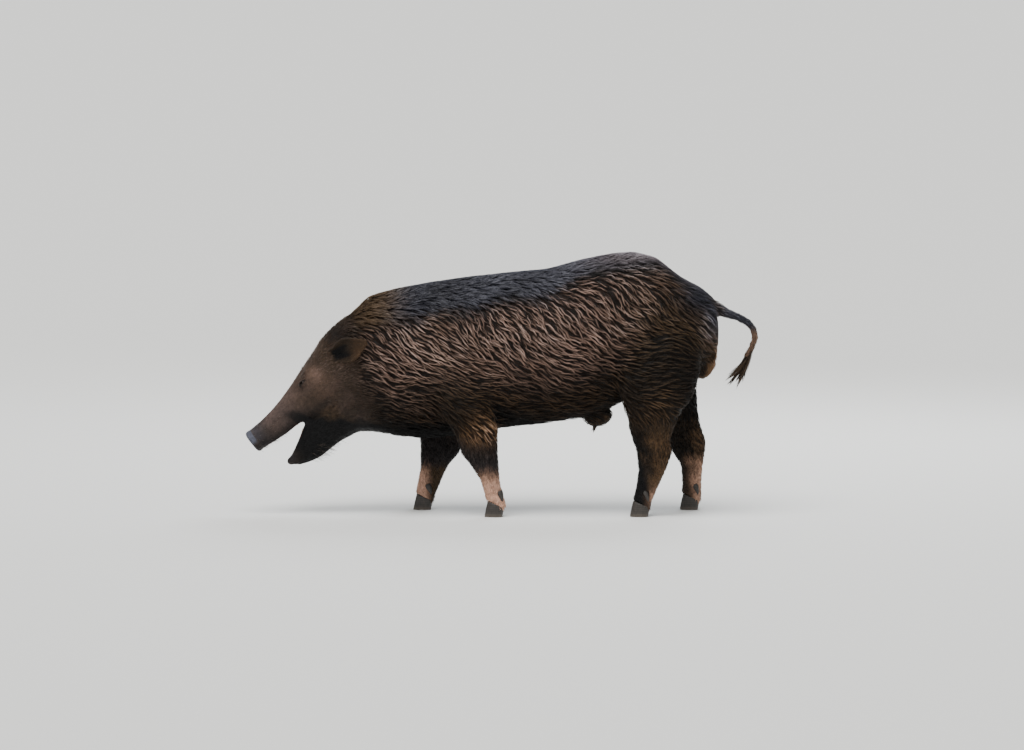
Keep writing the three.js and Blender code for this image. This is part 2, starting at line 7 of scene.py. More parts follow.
# %% Load the frame
import math
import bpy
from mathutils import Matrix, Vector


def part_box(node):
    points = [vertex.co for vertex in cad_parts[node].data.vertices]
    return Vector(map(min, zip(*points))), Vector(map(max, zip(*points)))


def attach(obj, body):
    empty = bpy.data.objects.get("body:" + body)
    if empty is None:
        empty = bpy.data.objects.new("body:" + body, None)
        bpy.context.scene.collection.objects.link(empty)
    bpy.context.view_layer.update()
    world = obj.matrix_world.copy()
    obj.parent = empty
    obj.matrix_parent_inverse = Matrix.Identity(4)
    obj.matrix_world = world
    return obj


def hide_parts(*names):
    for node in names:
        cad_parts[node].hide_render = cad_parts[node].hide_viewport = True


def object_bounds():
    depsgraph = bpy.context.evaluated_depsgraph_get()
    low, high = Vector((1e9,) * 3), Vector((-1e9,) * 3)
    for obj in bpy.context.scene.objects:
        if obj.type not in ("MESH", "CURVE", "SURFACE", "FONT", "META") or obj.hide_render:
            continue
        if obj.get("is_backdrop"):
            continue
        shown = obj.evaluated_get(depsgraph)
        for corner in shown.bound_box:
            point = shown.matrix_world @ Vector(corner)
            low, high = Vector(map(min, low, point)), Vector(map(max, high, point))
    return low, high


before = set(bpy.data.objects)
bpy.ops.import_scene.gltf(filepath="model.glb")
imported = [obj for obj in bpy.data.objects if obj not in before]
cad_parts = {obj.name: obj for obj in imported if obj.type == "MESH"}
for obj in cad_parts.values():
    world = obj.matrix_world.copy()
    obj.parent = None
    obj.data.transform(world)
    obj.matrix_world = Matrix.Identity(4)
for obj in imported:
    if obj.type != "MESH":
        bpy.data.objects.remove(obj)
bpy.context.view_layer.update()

from types import SimpleNamespace

import bmesh
import bpy
import numpy as np
from mathutils import Vector
from mathutils.bvhtree import BVHTree
from mathutils.kdtree import KDTree

MM = 0.001

# %% [markdown]
# ## Directions of the animal
# The boar faces along -Y, and its left side is +X. The head is tilted, so it gets directions of
# its own: `along` runs from the nose back to the poll, `up` is square to it. Every place on
# the face can then be named the way a sculptor would: so far back, so high, so far aside.

# %% Places and directions
HEAD_PITCH = math.radians(38)
JAW_PITCH = math.radians(46.6)


def middle(node):
    low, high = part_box(node)
    return (np.array(low) + np.array(high)) / 2


def sloped(pitch):
    along = np.array([0, math.cos(pitch), math.sin(pitch)])
    up = np.array([0, -math.sin(pitch), math.cos(pitch)])
    return along, up


head_along, head_up = sloped(HEAD_PITCH)
jaw_along, jaw_up = sloped(JAW_PITCH)
nose = middle("snout_disc")
eye = {side: middle(f"eye_{side}") for side in ("left", "right")}
EYE_RADIUS = (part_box("eye_left")[1][0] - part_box("eye_left")[0][0]) / 2


def on_head(points):
    """Distance back from the nose, height above the head's axis, distance from the middle."""
    away = points - nose
    return away @ head_along, away @ head_up, np.abs(points[:, 0])


def ramp(value, low, high):
    """0 below `low`, 1 above `high`, and a smooth rise between them."""
    share = np.clip((value - low) / (high - low), 0, 1)
    return share * share * (3 - 2 * share)


print("nose at", nose.round(3), "eye radius", round(EYE_RADIUS, 4))

# %% [markdown]
# ## Working with whole meshes at once
# A skin has a hundred thousand points, so they are read into arrays, changed together and
# written back. `spread` blends a value over the surface, as wet paint would run: each round
# mixes every point with its neighbours.

# %% Mesh helpers
def points_of(mesh):
    flat = np.empty(len(mesh.vertices) * 3, np.float32)
    mesh.vertices.foreach_get("co", flat)
    return flat.reshape(-1, 3).astype(float)


def normals_of(mesh):
    flat = np.empty(len(mesh.vertices) * 3, np.float32)
    mesh.vertex_normals.foreach_get("vector", flat)
    return flat.reshape(-1, 3).astype(float)


def move_points(mesh, points):
    mesh.vertices.foreach_set("co", points.astype(np.float32).ravel())
    mesh.update()


def edges_of(mesh):
    flat = np.empty(len(mesh.edges) * 2, np.int32)
    mesh.edges.foreach_get("vertices", flat)
    return flat.reshape(-1, 2)


def unit(vectors):
    return vectors / np.maximum(np.linalg.norm(vectors, axis=-1, keepdims=True), 1e-9)


def spread(values, edges, rounds):
    table = values.reshape(len(values), -1).astype(float)
    ends = np.concatenate([edges[:, 0], edges[:, 1]])
    others = np.concatenate([edges[:, 1], edges[:, 0]])
    count = np.maximum(np.bincount(ends, minlength=len(table)), 1)
    for _ in range(rounds):
        for column in table.T:
            column[:] = 0.5 * column + 0.5 * np.bincount(ends, column[others], len(table)) / count
    return table.reshape(values.shape)


def keep_as_attribute(mesh, name, values):
    kind = "FLOAT" if values.ndim == 1 else "FLOAT_VECTOR"
    field = "value" if values.ndim == 1 else "vector"
    attribute = mesh.attributes.new(name, kind, "POINT")
    attribute.data.foreach_set(field, values.astype(np.float32).ravel())


def new_object(name, data):
    piece = bpy.data.objects.new(name, data)
    bpy.context.scene.collection.objects.link(piece)
    return piece


def smooth_shaded(mesh):
    mesh.polygons.foreach_set("use_smooth", np.ones(len(mesh.polygons), bool))
    mesh.update()


def with_modifiers(piece):
    """Turns a piece with its modifiers into a plain mesh."""
    graph = bpy.context.evaluated_depsgraph_get()
    mesh = bpy.data.meshes.new_from_object(piece.evaluated_get(graph))
    piece.modifiers.clear()
    piece.data = mesh
    return mesh


def solids_together(name, nodes, swell, extra=None):
    """Copies solids into one new piece, each a little swollen so that thin cuts close."""
    together = bmesh.new()
    for node in nodes:
        one = bmesh.new()
        one.from_mesh(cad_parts[node].data)
        bmesh.ops.remove_doubles(one, verts=one.verts, dist=0.01 * MM)
        one.normal_update()
        for corner in one.verts:
            corner.co += corner.normal * swell
        scratch = bpy.data.meshes.new("scratch")
        one.to_mesh(scratch)
        one.free()
        together.from_mesh(scratch)
        bpy.data.meshes.remove(scratch)
    if extra is not None:
        together.from_mesh(extra)
    mesh = bpy.data.meshes.new(name)
    together.to_mesh(mesh)
    together.free()
    return new_object(name, mesh)


def remesh(piece, voxel):
    modifier = piece.modifiers.new("one skin", "REMESH")
    modifier.mode = "VOXEL"
    modifier.voxel_size = voxel
    return with_modifiers(piece)


def smooth(piece, weights, rounds, factor=0.5):
    group = piece.vertex_groups.new(name="soft")
    steps = np.round(np.clip(weights, 0, 1) * 10).astype(int)
    for step in range(1, 11):
        chosen = np.flatnonzero(steps == step)
        if len(chosen):
            group.add(chosen.tolist(), step / 10, "REPLACE")
    modifier = piece.modifiers.new("smooth", "SMOOTH")
    modifier.factor = factor
    modifier.iterations = rounds
    modifier.vertex_group = "soft"
    mesh = with_modifiers(piece)
    piece.vertex_groups.clear()
    return mesh


# %% [markdown]
# ## One skin
# The solids of flesh meet at thin cuts. Swelling each of them a little closes the cuts, and
# a voxel remesh melts all of them into one closed surface. It is smoothed most where the body
# is broad, and least where it is thin: ears, tail, lips and the disc of the nose.

# %% Melt the solids of flesh into one skin
SKIN_VOXEL = 2.4 * MM
CUT_SWELL = 0.7 * MM
NOT_FLESH = ("eye_", "tongue", "tail_tuft")
flesh = [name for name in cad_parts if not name.startswith(NOT_FLESH) and "claw" not in name]
melted = flesh + ["eye_left", "eye_right"]       # the lids will cover the eyeballs

TAIL_LINE = np.array([
    (0, 0.546, 0.551), (0, 0.595, 0.531), (0, 0.626, 0.521), (0, 0.652, 0.506), (0, 0.6655, 0.488),
    (0, 0.6705, 0.466), (0, 0.6615, 0.440), (0, 0.6465, 0.414), (0, 0.634, 0.388),
])
TAIL_TIP_RADIUS = 5 * MM
MOUTH_CORNER = np.array([0.031, -0.5130, 0.2465])
CORNER_REACH = np.array([9, 13, 14]) * MM
BULB_REACH = np.array([11, 15, 19]) * MM         # the soft heel behind each claw
LEGS = ("foreleg_left", "foreleg_right", "hindleg_left", "hindleg_right")


def add_ball(work, centre, reach):
    made = bmesh.ops.create_icosphere(work, subdivisions=3, radius=1.0)["verts"]
    for corner in made:
        corner.co = Vector(centre + np.array(corner.co) * reach)


def soft_extras():
    """Small flesh that the plain solids leave out: tail tip, corners of the mouth, heel bulbs."""
    work = bmesh.new()
    start, end = TAIL_LINE[-2] + (0, 0.002, 0.006), TAIL_LINE[-1]
    made = bmesh.ops.create_cone(
        work, segments=10, cap_ends=True, depth=float(np.linalg.norm(end - start)),
        radius1=TAIL_TIP_RADIUS, radius2=TAIL_TIP_RADIUS / 2,
    )["verts"]
    turn = Vector(end - start).to_track_quat("Z", "Y").to_matrix()
    bmesh.ops.rotate(work, verts=made, matrix=turn)
    bmesh.ops.translate(work, verts=made, vec=Vector((start + end) / 2))
    for aside in (-1, 1):
        add_ball(work, MOUTH_CORNER * (aside, 1, 1), CORNER_REACH)
    for leg in LEGS:
        for hand in ("left", "right"):
            middle_of_claw = middle(f"{leg}_claw_{hand}")
            add_ball(work, np.array([middle_of_claw[0], middle_of_claw[1] + 0.0145, 0.027]), BULB_REACH)
    mesh = bpy.data.meshes.new("soft_extras")
    work.to_mesh(mesh)
    work.free()
    return mesh


skin = solids_together("skin", melted, CUT_SWELL, soft_extras())
solids_tree = BVHTree.FromPolygons(
    [v.co.copy() for v in skin.data.vertices], [tuple(p.vertices) for p in skin.data.polygons]
)
skin_mesh = remesh(skin, SKIN_VOXEL)
print("melted skin:", len(skin_mesh.vertices), "points")

# %% Keep only the outer shell
def keep_largest_shell(mesh):
    shell = np.arange(len(mesh.vertices))
    edges = edges_of(mesh)
    while True:
        lowest = shell.copy()
        np.minimum.at(lowest, edges[:, 0], shell[edges[:, 1]])
        np.minimum.at(lowest, edges[:, 1], shell[edges[:, 0]])
        lowest = lowest[lowest]
        lowest = lowest[lowest]
        if np.array_equal(lowest, shell):
            break
        shell = lowest
    names, counts = np.unique(shell, return_counts=True)
    largest = names[counts.argmax()]
    stray = np.flatnonzero(shell != largest)
    if len(stray):
        work = bmesh.new()
        work.from_mesh(mesh)
        work.verts.ensure_lookup_table()
        bmesh.ops.delete(work, geom=[work.verts[i] for i in stray], context="VERTS")
        work.to_mesh(mesh)
        work.free()
    return len(names)


print("shells found:", keep_largest_shell(skin_mesh))

# %% Smooth the skin
points = points_of(skin_mesh)
back = on_head(points)[0]
off_face = ramp(back, 0.20, 0.34) * ramp(points[:, 1], -0.47, -0.36)
off_limb = ramp(points[:, 2], 0.20, 0.36) * (1 - ramp(points[:, 1], 0.53, 0.60))
ear_near = np.zeros(len(points))
for side in ("left", "right"):
    low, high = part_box(f"ear_{side}")
    outside = np.maximum(np.array(low) - points, points - np.array(high)).max(axis=1)
    ear_near = np.maximum(ear_near, 1 - ramp(outside, -0.004, 0.012))
broad = off_face * off_limb * (1 - ear_near)
smooth(skin, broad, 110)
limbs = (1 - off_limb) * off_face * (1 - ear_near) * (1 - ramp(points[:, 1], 0.50, 0.54))
smooth(skin, np.maximum(limbs * 0.6, broad), 24)
face = (1 - off_face) * ramp(back, 0.03, 0.08) * (1 - ear_near)
skin_mesh = smooth(skin, np.maximum.reduce([face * 0.7, broad, limbs * 0.5, ear_near * 0.25]), 16)
skin_mesh = smooth(skin, np.ones(len(points)), 3)

# %% Thin out the mesh
SKIN_TRIANGLES = 86000


def thin_out(piece, triangles):
    modifier = piece.modifiers.new("thin out", "DECIMATE")
    modifier.ratio = triangles / (2 * len(piece.data.vertices))
    modifier.use_collapse_triangulate = True
    return with_modifiers(piece)


skin_mesh = thin_out(skin, SKIN_TRIANGLES)
print("thinned skin:", len(skin_mesh.polygons), "triangles")

# %% Give back what smoothing took
points, normals = points_of(skin_mesh), normals_of(skin_mesh)
nearest = np.array([solids_tree.find_nearest(Vector(point))[0] for point in points])
lost = np.clip(((nearest - points) * normals).sum(axis=1), -6 * MM, 6 * MM)
lost = spread(lost, edges_of(skin_mesh), 30)
move_points(skin_mesh, points + normals * lost[:, None])
print("smoothing had taken up to", (lost.max() / MM).round(1), "mm")

# %% [markdown]
# ## Which part of the body is it?
# Every point of the skin asks which solid it is nearest to. The answers are blended over the
# surface, so that hair length, direction and colour change gently from part to part.

# %% Name the parts of the skin
PARTS = ("pad", "snout", "face", "jaw", "ear_left", "ear_right", "neck", "chest", "barrel",
         "rump", "upper", "lower", "foot", "tail", "scrotum", "sheath")


def part_of(node):
    if node in ("snout", "ear_left", "ear_right", "neck", "chest", "barrel", "rump", "scrotum", "sheath"):
        return node
    if node.startswith("tail"):
        return "tail"
    if "leg" in node:
        return node.rsplit("_", 1)[1]
    return {"snout_disc": "pad", "lower_jaw": "jaw"}.get(node, "face")


face_part = []
for node in melted:
    # Merging the corners keeps the faces' order and number, so they can be counted here.
    face_part += [PARTS.index(part_of(node))] * len(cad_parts[node].data.polygons)


def nearest_part(point):
    face = solids_tree.find_nearest(Vector(point))[2]
    if face < len(face_part):
        return face_part[face]
    return PARTS.index("foot" if point[2] < 0.1 else "face" if point[1] < 0 else "tail")


def part_shares(mesh, rounds):
    """How much each point of the skin belongs to each part."""
    nearest = np.array([nearest_part(point) for point in points_of(mesh)])
    shares = np.zeros((len(nearest), len(PARTS)))
    shares[np.arange(len(nearest)), nearest] = 1
    return spread(shares, edges_of(mesh), rounds)


share = part_shares(skin_mesh, 24)
print({part: int(amount) for part, amount in zip(PARTS, share.sum(axis=0))})


TRUNK = ("neck", "chest", "barrel", "rump")


def amount(shares, *parts):
    """How much of each point belongs to the named parts."""
    return sum(shares[:, PARTS.index(part)] for part in parts)


# %% [markdown]
# ## Muscle, bone and folds
# Under a wet coat the big forms still show: shoulder blade, ribs, flank hollow, thigh, hock.
# Each is a soft swelling or hollow with a place, a reach along each axis and a height. On the
# face, places are given in the head's own directions.

# %% Broad forms of the body
def swelling(where, centre, reach):
    """1 at the centre, falling softly to 0 past the reach along each axis."""
    offset = (where - np.array(centre)) / np.array(reach)
    return np.exp(-(offset ** 2).sum(axis=1))


BODY_FORMS = {                   # (aside, y, z), reach, height in millimetres
    "shoulder blade": ((0.118, -0.190, 0.470), (0.060, 0.050, 0.120), 6),
    "point of shoulder": ((0.110, -0.235, 0.335), (0.050, 0.045, 0.055), 5),
    "upper arm": ((0.125, -0.120, 0.345), (0.050, 0.055, 0.060), 5),
    "behind the shoulder": ((0.125, -0.015, 0.400), (0.060, 0.026, 0.130), -6),
    "elbow": ((0.112, -0.062, 0.272), (0.040, 0.022, 0.030), 6),
    "ribs": ((0.135, 0.110, 0.430), (0.060, 0.090, 0.110), 4),
    "flank hollow": ((0.115, 0.285, 0.490), (0.060, 0.036, 0.085), -8),
    "flank fold": ((0.105, 0.318, 0.350), (0.040, 0.020, 0.055), 6),
    "point of hip": ((0.095, 0.330, 0.605), (0.050, 0.040, 0.040), 4),
    "thigh": ((0.130, 0.430, 0.480), (0.060, 0.075, 0.110), 6),
    "stifle": ((0.120, 0.350, 0.375), (0.050, 0.035, 0.045), 5),
    "behind the thigh": ((0.110, 0.500, 0.420), (0.060, 0.022, 0.060), -4),
    "crest of the neck": ((0.000, -0.330, 0.585), (0.040, 0.100, 0.040), 3),
    "jowl": ((0.085, -0.380, 0.262), (0.050, 0.050, 0.045), 5),
    "behind the jowl": ((0.105, -0.300, 0.300), (0.050, 0.022, 0.090), -5),
}
FACE_FORMS = {                   # (aside, back, height), reach, height in millimetres
    "brow": ((0.040, 0.218, 0.066), (0.017, 0.028, 0.010), 5),
    "hollow of the eye": ((0.047, 0.182, 0.032), (0.020, 0.024, 0.015), -3),
    "cheekbone": ((0.078, 0.248, 0.012), (0.030, 0.050, 0.016), 6),
    "below the cheekbone": ((0.060, 0.205, -0.014), (0.030, 0.032, 0.012), -4),
    "chewing muscle": ((0.085, 0.300, -0.048), (0.040, 0.045, 0.040), 6),
    "side of the muzzle": ((0.043, 0.140, 0.010), (0.020, 0.034, 0.011), -3),
    "tusk root": ((0.037, 0.082, -0.020), (0.020, 0.022, 0.012), 4),
    "bridge of the nose": ((0.000, 0.110, 0.044), (0.016, 0.060, 0.030), 1.5),
    "beside the bridge": ((0.028, 0.110, 0.024), (0.016, 0.050, 0.009), -2),
    "forehead": ((0.000, 0.270, 0.100), (0.030, 0.040, 0.030), -3),
    "temple": ((0.060, 0.275, 0.062), (0.026, 0.026, 0.020), -4),
    "root of the ear": ((0.078, 0.330, 0.062), (0.026, 0.026, 0.026), 5),
}


def add_forms(heights, where, forms, only):
    for centre, reach, height in forms.values():
        heights += height * MM * only * swelling(where, centre, reach)
    return heights


points = points_of(skin_mesh)
normals = spread(normals_of(skin_mesh), edges_of(skin_mesh), 3)
normals /= np.linalg.norm(normals, axis=1)[:, None]
mirrored = np.column_stack([np.abs(points[:, 0]), points[:, 1], points[:, 2]])
back, height, aside = on_head(points)
face_places = np.column_stack([aside, back, height])
on_ears = amount(share, "ear_left", "ear_right")
heights = add_forms(np.zeros(len(points)), mirrored, BODY_FORMS, 1 - on_ears)
heights = add_forms(heights, face_places, FACE_FORMS, amount(share, "snout", "face", "jaw", "neck"))
print("forms reach from", (heights.min() / MM).round(1), "to", (heights.max() / MM).round(1), "mm")

# %% [markdown]
# ## Room for the coat
# The solids are as big as the boar with its hair on. The skin sinks below them by the depth
# that the coat has there: a finger's width on the back, next to nothing on the snout.

# %% The coat's measures on each part
# Depth of the coat, length and width of a tuft in millimetres, tufts to a square centimetre,
# how far a lock draws together, how far it waves in millimetres.
DEPTH, LENGTH, WIDTH, DENSITY, GATHERING, WAVE = range(6)
COAT = {
    "pad": (0.2, 2.0, 0.5, 0.0, 0.0, 0.0),
    "snout": (0.6, 4.0, 0.6, 3.0, 0.1, 0.0),
    "face": (2.4, 12.0, 0.65, 5.2, 0.3, 0.2),
    "jaw": (2.2, 12.0, 0.65, 5.0, 0.3, 0.2),
    "ear_left": (0.8, 8.0, 0.8, 5.5, 0.1, 0.0),
    "ear_right": (0.8, 8.0, 0.8, 5.5, 0.1, 0.0),
    "neck": (9.0, 38.0, 1.9, 5.4, 0.90, 2.8),
    "chest": (9.0, 42.0, 1.9, 5.2, 0.95, 3.6),
    "barrel": (9.0, 42.0, 1.9, 5.0, 0.95, 3.6),
    "rump": (8.0, 36.0, 1.8, 5.0, 0.90, 2.8),
    "upper": (6.5, 34.0, 2.0, 5.2, 0.7, 1.4),
    "lower": (2.5, 16.0, 1.4, 5.5, 0.4, 0.4),
    "foot": (1.6, 10.0, 1.2, 5.0, 0.2, 0.0),
    "tail": (2.2, 15.0, 1.3, 6.0, 0.3, 0.2),
    "scrotum": (1.5, 9.0, 1.1, 2.5, 0.2, 0.0),
    "sheath": (3.5, 18.0, 1.6, 4.5, 0.5, 0.5),
}
COAT_TABLE = np.array([COAT[part] for part in PARTS])


def mane_start(points, shares):
    """The long hair of the neck sets in gradually behind the head."""
    return 1 - 0.6 * (1 - ramp(points[:, 1], -0.44, -0.32)) * amount(shares, "neck")


def coat_depth(points, shares):
    muzzle = (1 - ramp(on_head(points)[0], 0.14, 0.26)) * amount(shares, "face", "jaw")
    return shares @ COAT_TABLE[:, DEPTH] * MM * (1 - 0.7 * muzzle) * mane_start(points, shares)


depth = spread(coat_depth(points, share), edges_of(skin_mesh), 10)

# %% Sink the skin below the coat
points = points + normals * (heights - depth)[:, None]
move_points(skin_mesh, points)
print("coat depth", (depth.min() / MM).round(1), "to", (depth.max() / MM).round(1), "mm")

# %% [markdown]
# ## The face
# Lids, nostrils, lips and wrinkles are a millimetre or two across, so the mesh is made finer
# there, and finer again round the eyes. Each lid is the skin lifted just clear of the eyeball,
# and the opening between the lids is the skin pushed in behind it.

# %% Make the mesh finer on the face
def refine(mesh, chosen):
    work = bmesh.new()
    work.from_mesh(mesh)
    work.verts.ensure_lookup_table()
    edges = [e for e in work.edges if chosen[e.verts[0].index] and chosen[e.verts[1].index]]
    bmesh.ops.subdivide_edges(work, edges=edges, cuts=1, use_grid_fill=True)
    bmesh.ops.triangulate(work, faces=[f for f in work.faces if len(f.verts) > 3])
    work.to_mesh(mesh)
    work.free()
    mesh.update()


def near_eyes(points, reach):
    gaps = [np.linalg.norm(points - centre, axis=1) for centre in eye.values()]
    return np.minimum(*gaps) < reach


def relax(mesh, chosen, rounds):
    points = points_of(mesh)
    loose = chosen.astype(float)[:, None]
    edges = edges_of(mesh)
    for _ in range(rounds):
        points = points + loose * (spread(points, edges, 1) - points)
    move_points(mesh, points)


FACE_END = 0.30                  # how far back from the nose the fine mesh reaches
points = points_of(skin_mesh)
back = on_head(points)[0]
refine(skin_mesh, (back < FACE_END) & (amount(share, "pad", "snout", "face", "jaw") > 0.3))
points = points_of(skin_mesh)
back = on_head(points)[0]
relax(skin_mesh, back < FACE_END, 3)
refine(skin_mesh, near_eyes(points, 0.030) | (back < 0.016))
relax(skin_mesh, near_eyes(points_of(skin_mesh), 0.030), 3)
refine(skin_mesh, near_eyes(points_of(skin_mesh), 0.0185))
print("finer skin:", len(skin_mesh.polygons), "triangles")

# %% Open the eyes between their lids
LID_THICKNESS = 1.3 * MM
EYE_HALF_LENGTH = 9.6 * MM
UPPER_LID, LOWER_LID = 2.7 * MM, 2.3 * MM        # how far each lid opens at its middle
LID_EDGE = 0.35 * MM
SHELL = EYE_RADIUS + 0.9 * MM    # no closed lid lies nearer than this to the eyeball's centre
SOFT_EDGE = 1.6 * MM


def eye_directions(side):
    """Outward, back along the slit, and up, for one eye."""
    aside = 1 if side == "left" else -1
    outward = 0.80 * np.array([aside, 0, 0]) + 0.50 * head_up - 0.26 * head_along
    outward /= np.linalg.norm(outward)
    slit = head_along + 0.25 * head_up
    slit -= (slit @ outward) * outward
    slit /= np.linalg.norm(slit)
    upward = np.cross(outward, slit) * aside
    return outward, slit, upward


def about_eye(points, side):
    """Place along the slit, height over it, and distance outside the opening."""
    outward, slit, upward = eye_directions(side)
    away = points - eye[side]
    along, high = away @ slit, away @ upward
    lid = np.where(high > 0, UPPER_LID, LOWER_LID)
    rim = lid * np.clip(1 - (along / EYE_HALF_LENGTH) ** 2, 0, 1) ** 0.8
    past_corner = np.maximum(np.abs(along) - EYE_HALF_LENGTH, 0)
    outside = np.where(past_corner > 0, np.hypot(past_corner, high), np.abs(high) - rim)
    return along, high, outside, away @ outward


def cover_eyeball(points, side):
    """Lifts the skin clear of the eyeball, as a dome that runs out in a soft skirt."""
    outward = eye_directions(side)[0]
    away = points - eye[side]
    out = away @ outward
    aside = np.linalg.norm(away - out[:, None] * outward, axis=1) / SHELL
    bend = 0.72
    edge = math.sqrt(1 - bend ** 2)
    dome = np.sqrt(np.clip(1 - aside ** 2, 0, 1))
    skirt = edge - (aside - bend) * bend / edge
    needed = SHELL * np.where(aside < bend, dome, skirt)
    lifted = (out + needed + np.sqrt((out - needed) ** 2 + SOFT_EDGE ** 2)) / 2
    near = (np.linalg.norm(away, axis=1) < 0.040) & (out > -0.9 * SHELL)
    return points + (np.where(near, lifted - out, 0) * ramp(-aside, -2.4, -1.6))[:, None] * outward


def shape_lids(points, side):
    _, _, outside, out = about_eye(points, side)
    away = points - eye[side]
    distance = np.linalg.norm(away, axis=1)
    front = ramp(out, -1 * MM, 3 * MM)
    lid = (1 - ramp(outside, 3 * MM, 9 * MM)) * front
    radius = distance * (1 - lid) + (EYE_RADIUS + LID_THICKNESS) * lid
    for place, width, deep in ((4.2, 0.9, 0.9), (7.2, 1.1, 0.6), (10.5, 1.4, 0.6), (14, 1.8, 0.5)):
        radius -= deep * MM * np.exp(-(((outside / MM) - place) / width) ** 2) * front
    for place, width, rise in ((2.0, 1.2, 0.5), (5.8, 1.2, 0.5), (8.8, 1.5, 0.5)):
        radius += rise * MM * np.exp(-(((outside / MM) - place) / width) ** 2) * front
    opening = 1 - ramp(outside, -LID_EDGE, LID_EDGE)
    radius = np.maximum(radius, SHELL)
    radius = radius * (1 - opening * front) + (EYE_RADIUS - 2.5 * MM) * opening * front
    near = (distance < 0.032) & (out > -2 * MM)
    moved = eye[side] + away * (radius / np.maximum(distance, MM))[:, None]
    return np.where(near[:, None], moved, points)


points = points_of(skin_mesh)
for side in eye:
    points = shape_lids(cover_eyeball(points, side), side)
move_points(skin_mesh, points)

# %% Nostrils, rim of the disc, and wrinkles of the snout
NOSTRIL = {"aside": 13.5 * MM, "height": 1 * MM, "half": (5.2 * MM, 6.6 * MM), "deep": 11 * MM}
DISC_HALF = (33 * MM, 30.5 * MM)
WRINKLES = (15, 21, 28, 36, 46)  # millimetres behind the middle of the disc


def in_nostril(aside, height):
    """Under 1 inside the oval of the nostril."""
    across = (aside - NOSTRIL["aside"]) / NOSTRIL["half"][0]
    upright = (height - NOSTRIL["height"]) / NOSTRIL["half"][1]
    return across ** 2 + upright ** 2


points = points_of(skin_mesh)
back, height, aside = on_head(points)
front = 1 - ramp(back, 1 * MM, 6 * MM)
inside = in_nostril(aside, height)
hole = (1 - ramp(inside, 0.55, 1.15)) * front
wing = np.exp(-((inside - 1.9) / 0.7) ** 2) * front
round_disc = np.hypot(aside / DISC_HALF[0], height / DISC_HALF[1])
rim = np.exp(-((round_disc - 0.90) / 0.07) ** 2) * front
notch = np.exp(-(aside / (1.8 * MM)) ** 2) * ramp(-height, 2 * MM, 9 * MM) * front
shift = NOSTRIL["deep"] * hole - 0.9 * MM * wing - 0.8 * MM * rim + 1.1 * MM * notch
points = points + shift[:, None] * head_along
normals = normals_of(skin_mesh)
sunk = np.zeros(len(points))
for place in WRINKLES:
    bend = place * MM + 2.5 * MM * np.sin(height / (9 * MM) + place)
    strength = ramp(height, -14 * MM, 6 * MM) * ramp(aside + height * 0.6, 0, 20 * MM)
    sunk += 0.8 * MM * np.exp(-((back - bend) / (1.3 * MM)) ** 2) * strength
points = points - normals * sunk[:, None]
move_points(skin_mesh, points)
relax(skin_mesh, (back < FACE_END) & ~near_eyes(points, 0.016), 1)
smooth_shaded(skin_mesh)
share = part_shares(skin_mesh, 16)
print("finished skin:", len(skin_mesh.polygons), "triangles, box", [round(v, 3) for v in skin.dimensions])

# %% [markdown]
# ## Markings
# Skin and hair carry the same colours, so the markings are worked out once, from the place on
# the body, as masks from 0 to 1: rust-red flanks, slate-grey hair along the back with a painted
# bluish sheen, tan patches on the forearms, rosy skin on the lower legs, and black hair with
# painted shade below and in hollows. A painted sheen lies on the top of the face, round the
# eyes and on the croup. Skin and coat both store them.

# %% Where the colours lie
EAR_ROOT = np.array([0.070, -0.4366, 0.428])
EAR_AXIS = (0.44, 0.81, 0.36)
EAR_MOUTH = (0.8, -0.4, -0.2)    # where the cup of the ear opens to
BACK_LINE = ((-0.43, 0.50), (-0.27, 0.60), (-0.09, 0.63), (0.12, 0.65), (0.30, 0.69), (0.41, 0.68),
             (0.52, 0.60), (0.56, 0.575))
BELLY_LINE = ((-0.43, 0.215), (-0.27, 0.205), (-0.09, 0.212), (0.12, 0.239), (0.29, 0.28),
              (0.41, 0.345), (0.56, 0.40))
# Below this line on the trunk the belly is painted dark, a painted shade.
SOOT_AND_SHADE_LINE = ((-0.45, 0.17), (-0.27, 0.15), (-0.10, 0.13), (0.02, 0.07), (0.30, 0.07))
# Above this line the back is sleek, dark slate-grey, with a painted bluish sheen.
SLATE_AND_SHEEN_LINE = ((-0.34, 0.84), (-0.21, 0.76), (-0.05, 0.81), (0.10, 0.86), (0.25, 0.88), (0.45, 0.91))
# Russet, slate and rosy are also used for a painted sheen, and soot for painted shade.
MARKS = ("russet", "slate", "ember", "rosy", "soot")


def trunk_height(points):
    """0 on the belly line and 1 on the back line."""
    top = np.interp(points[:, 1], *np.array(BACK_LINE).T)
    bottom = np.interp(points[:, 1], *np.array(BELLY_LINE).T)
    return (points[:, 2] - bottom) / (top - bottom)


def over_slate_and_sheen_line(points):
    """Height on the trunk over the ragged line above which the back is sleek, slate-grey and painted with a
    bluish sheen.
    """
    line = np.interp(points[:, 1], *np.array(SLATE_AND_SHEEN_LINE).T)
    return trunk_height(points) - line + 0.02 * patches(points, 0.03, 7)


def patches(points, scale, seed):
    """Smooth blotches between -1 and 1, from a few crossed waves."""
    draw = np.random.default_rng(seed)
    total = np.zeros(len(points))
    for _ in range(6):
        wave = draw.normal(size=3) / scale
        total += np.sin(points @ wave + draw.uniform(0, 2 * math.pi))
    return total / 3


def in_ear(points):
    """1 in the hollow at the root of the ear, for painted shade on the skin and hair of its inner side."""
    deep = np.zeros(len(points))
    for aside in (-1, 1):
        mirror = np.array([aside, 1, 1])
        axis, mouth = unit(EAR_AXIS * mirror), unit(EAR_MOUTH * mirror)
        away = points - EAR_ROOT * mirror
        along, out = away @ axis, away @ mouth
        wide = np.linalg.norm(away - along[:, None] * axis, axis=1)
        deep = np.maximum(deep, (1 - ramp(wide, 0.014, 0.030)) * (1 - ramp(along, 0.030, 0.070))
                          * ramp(along, -0.016, -0.004) * ramp(out, -0.004, 0.004))
    return deep


def in_profile(points, centre, reach):
    """A swelling placed by (back, up) alone, so that it goes through both sides."""
    return swelling(points * [0, 1, 1], (0,) + centre, (1,) + reach)


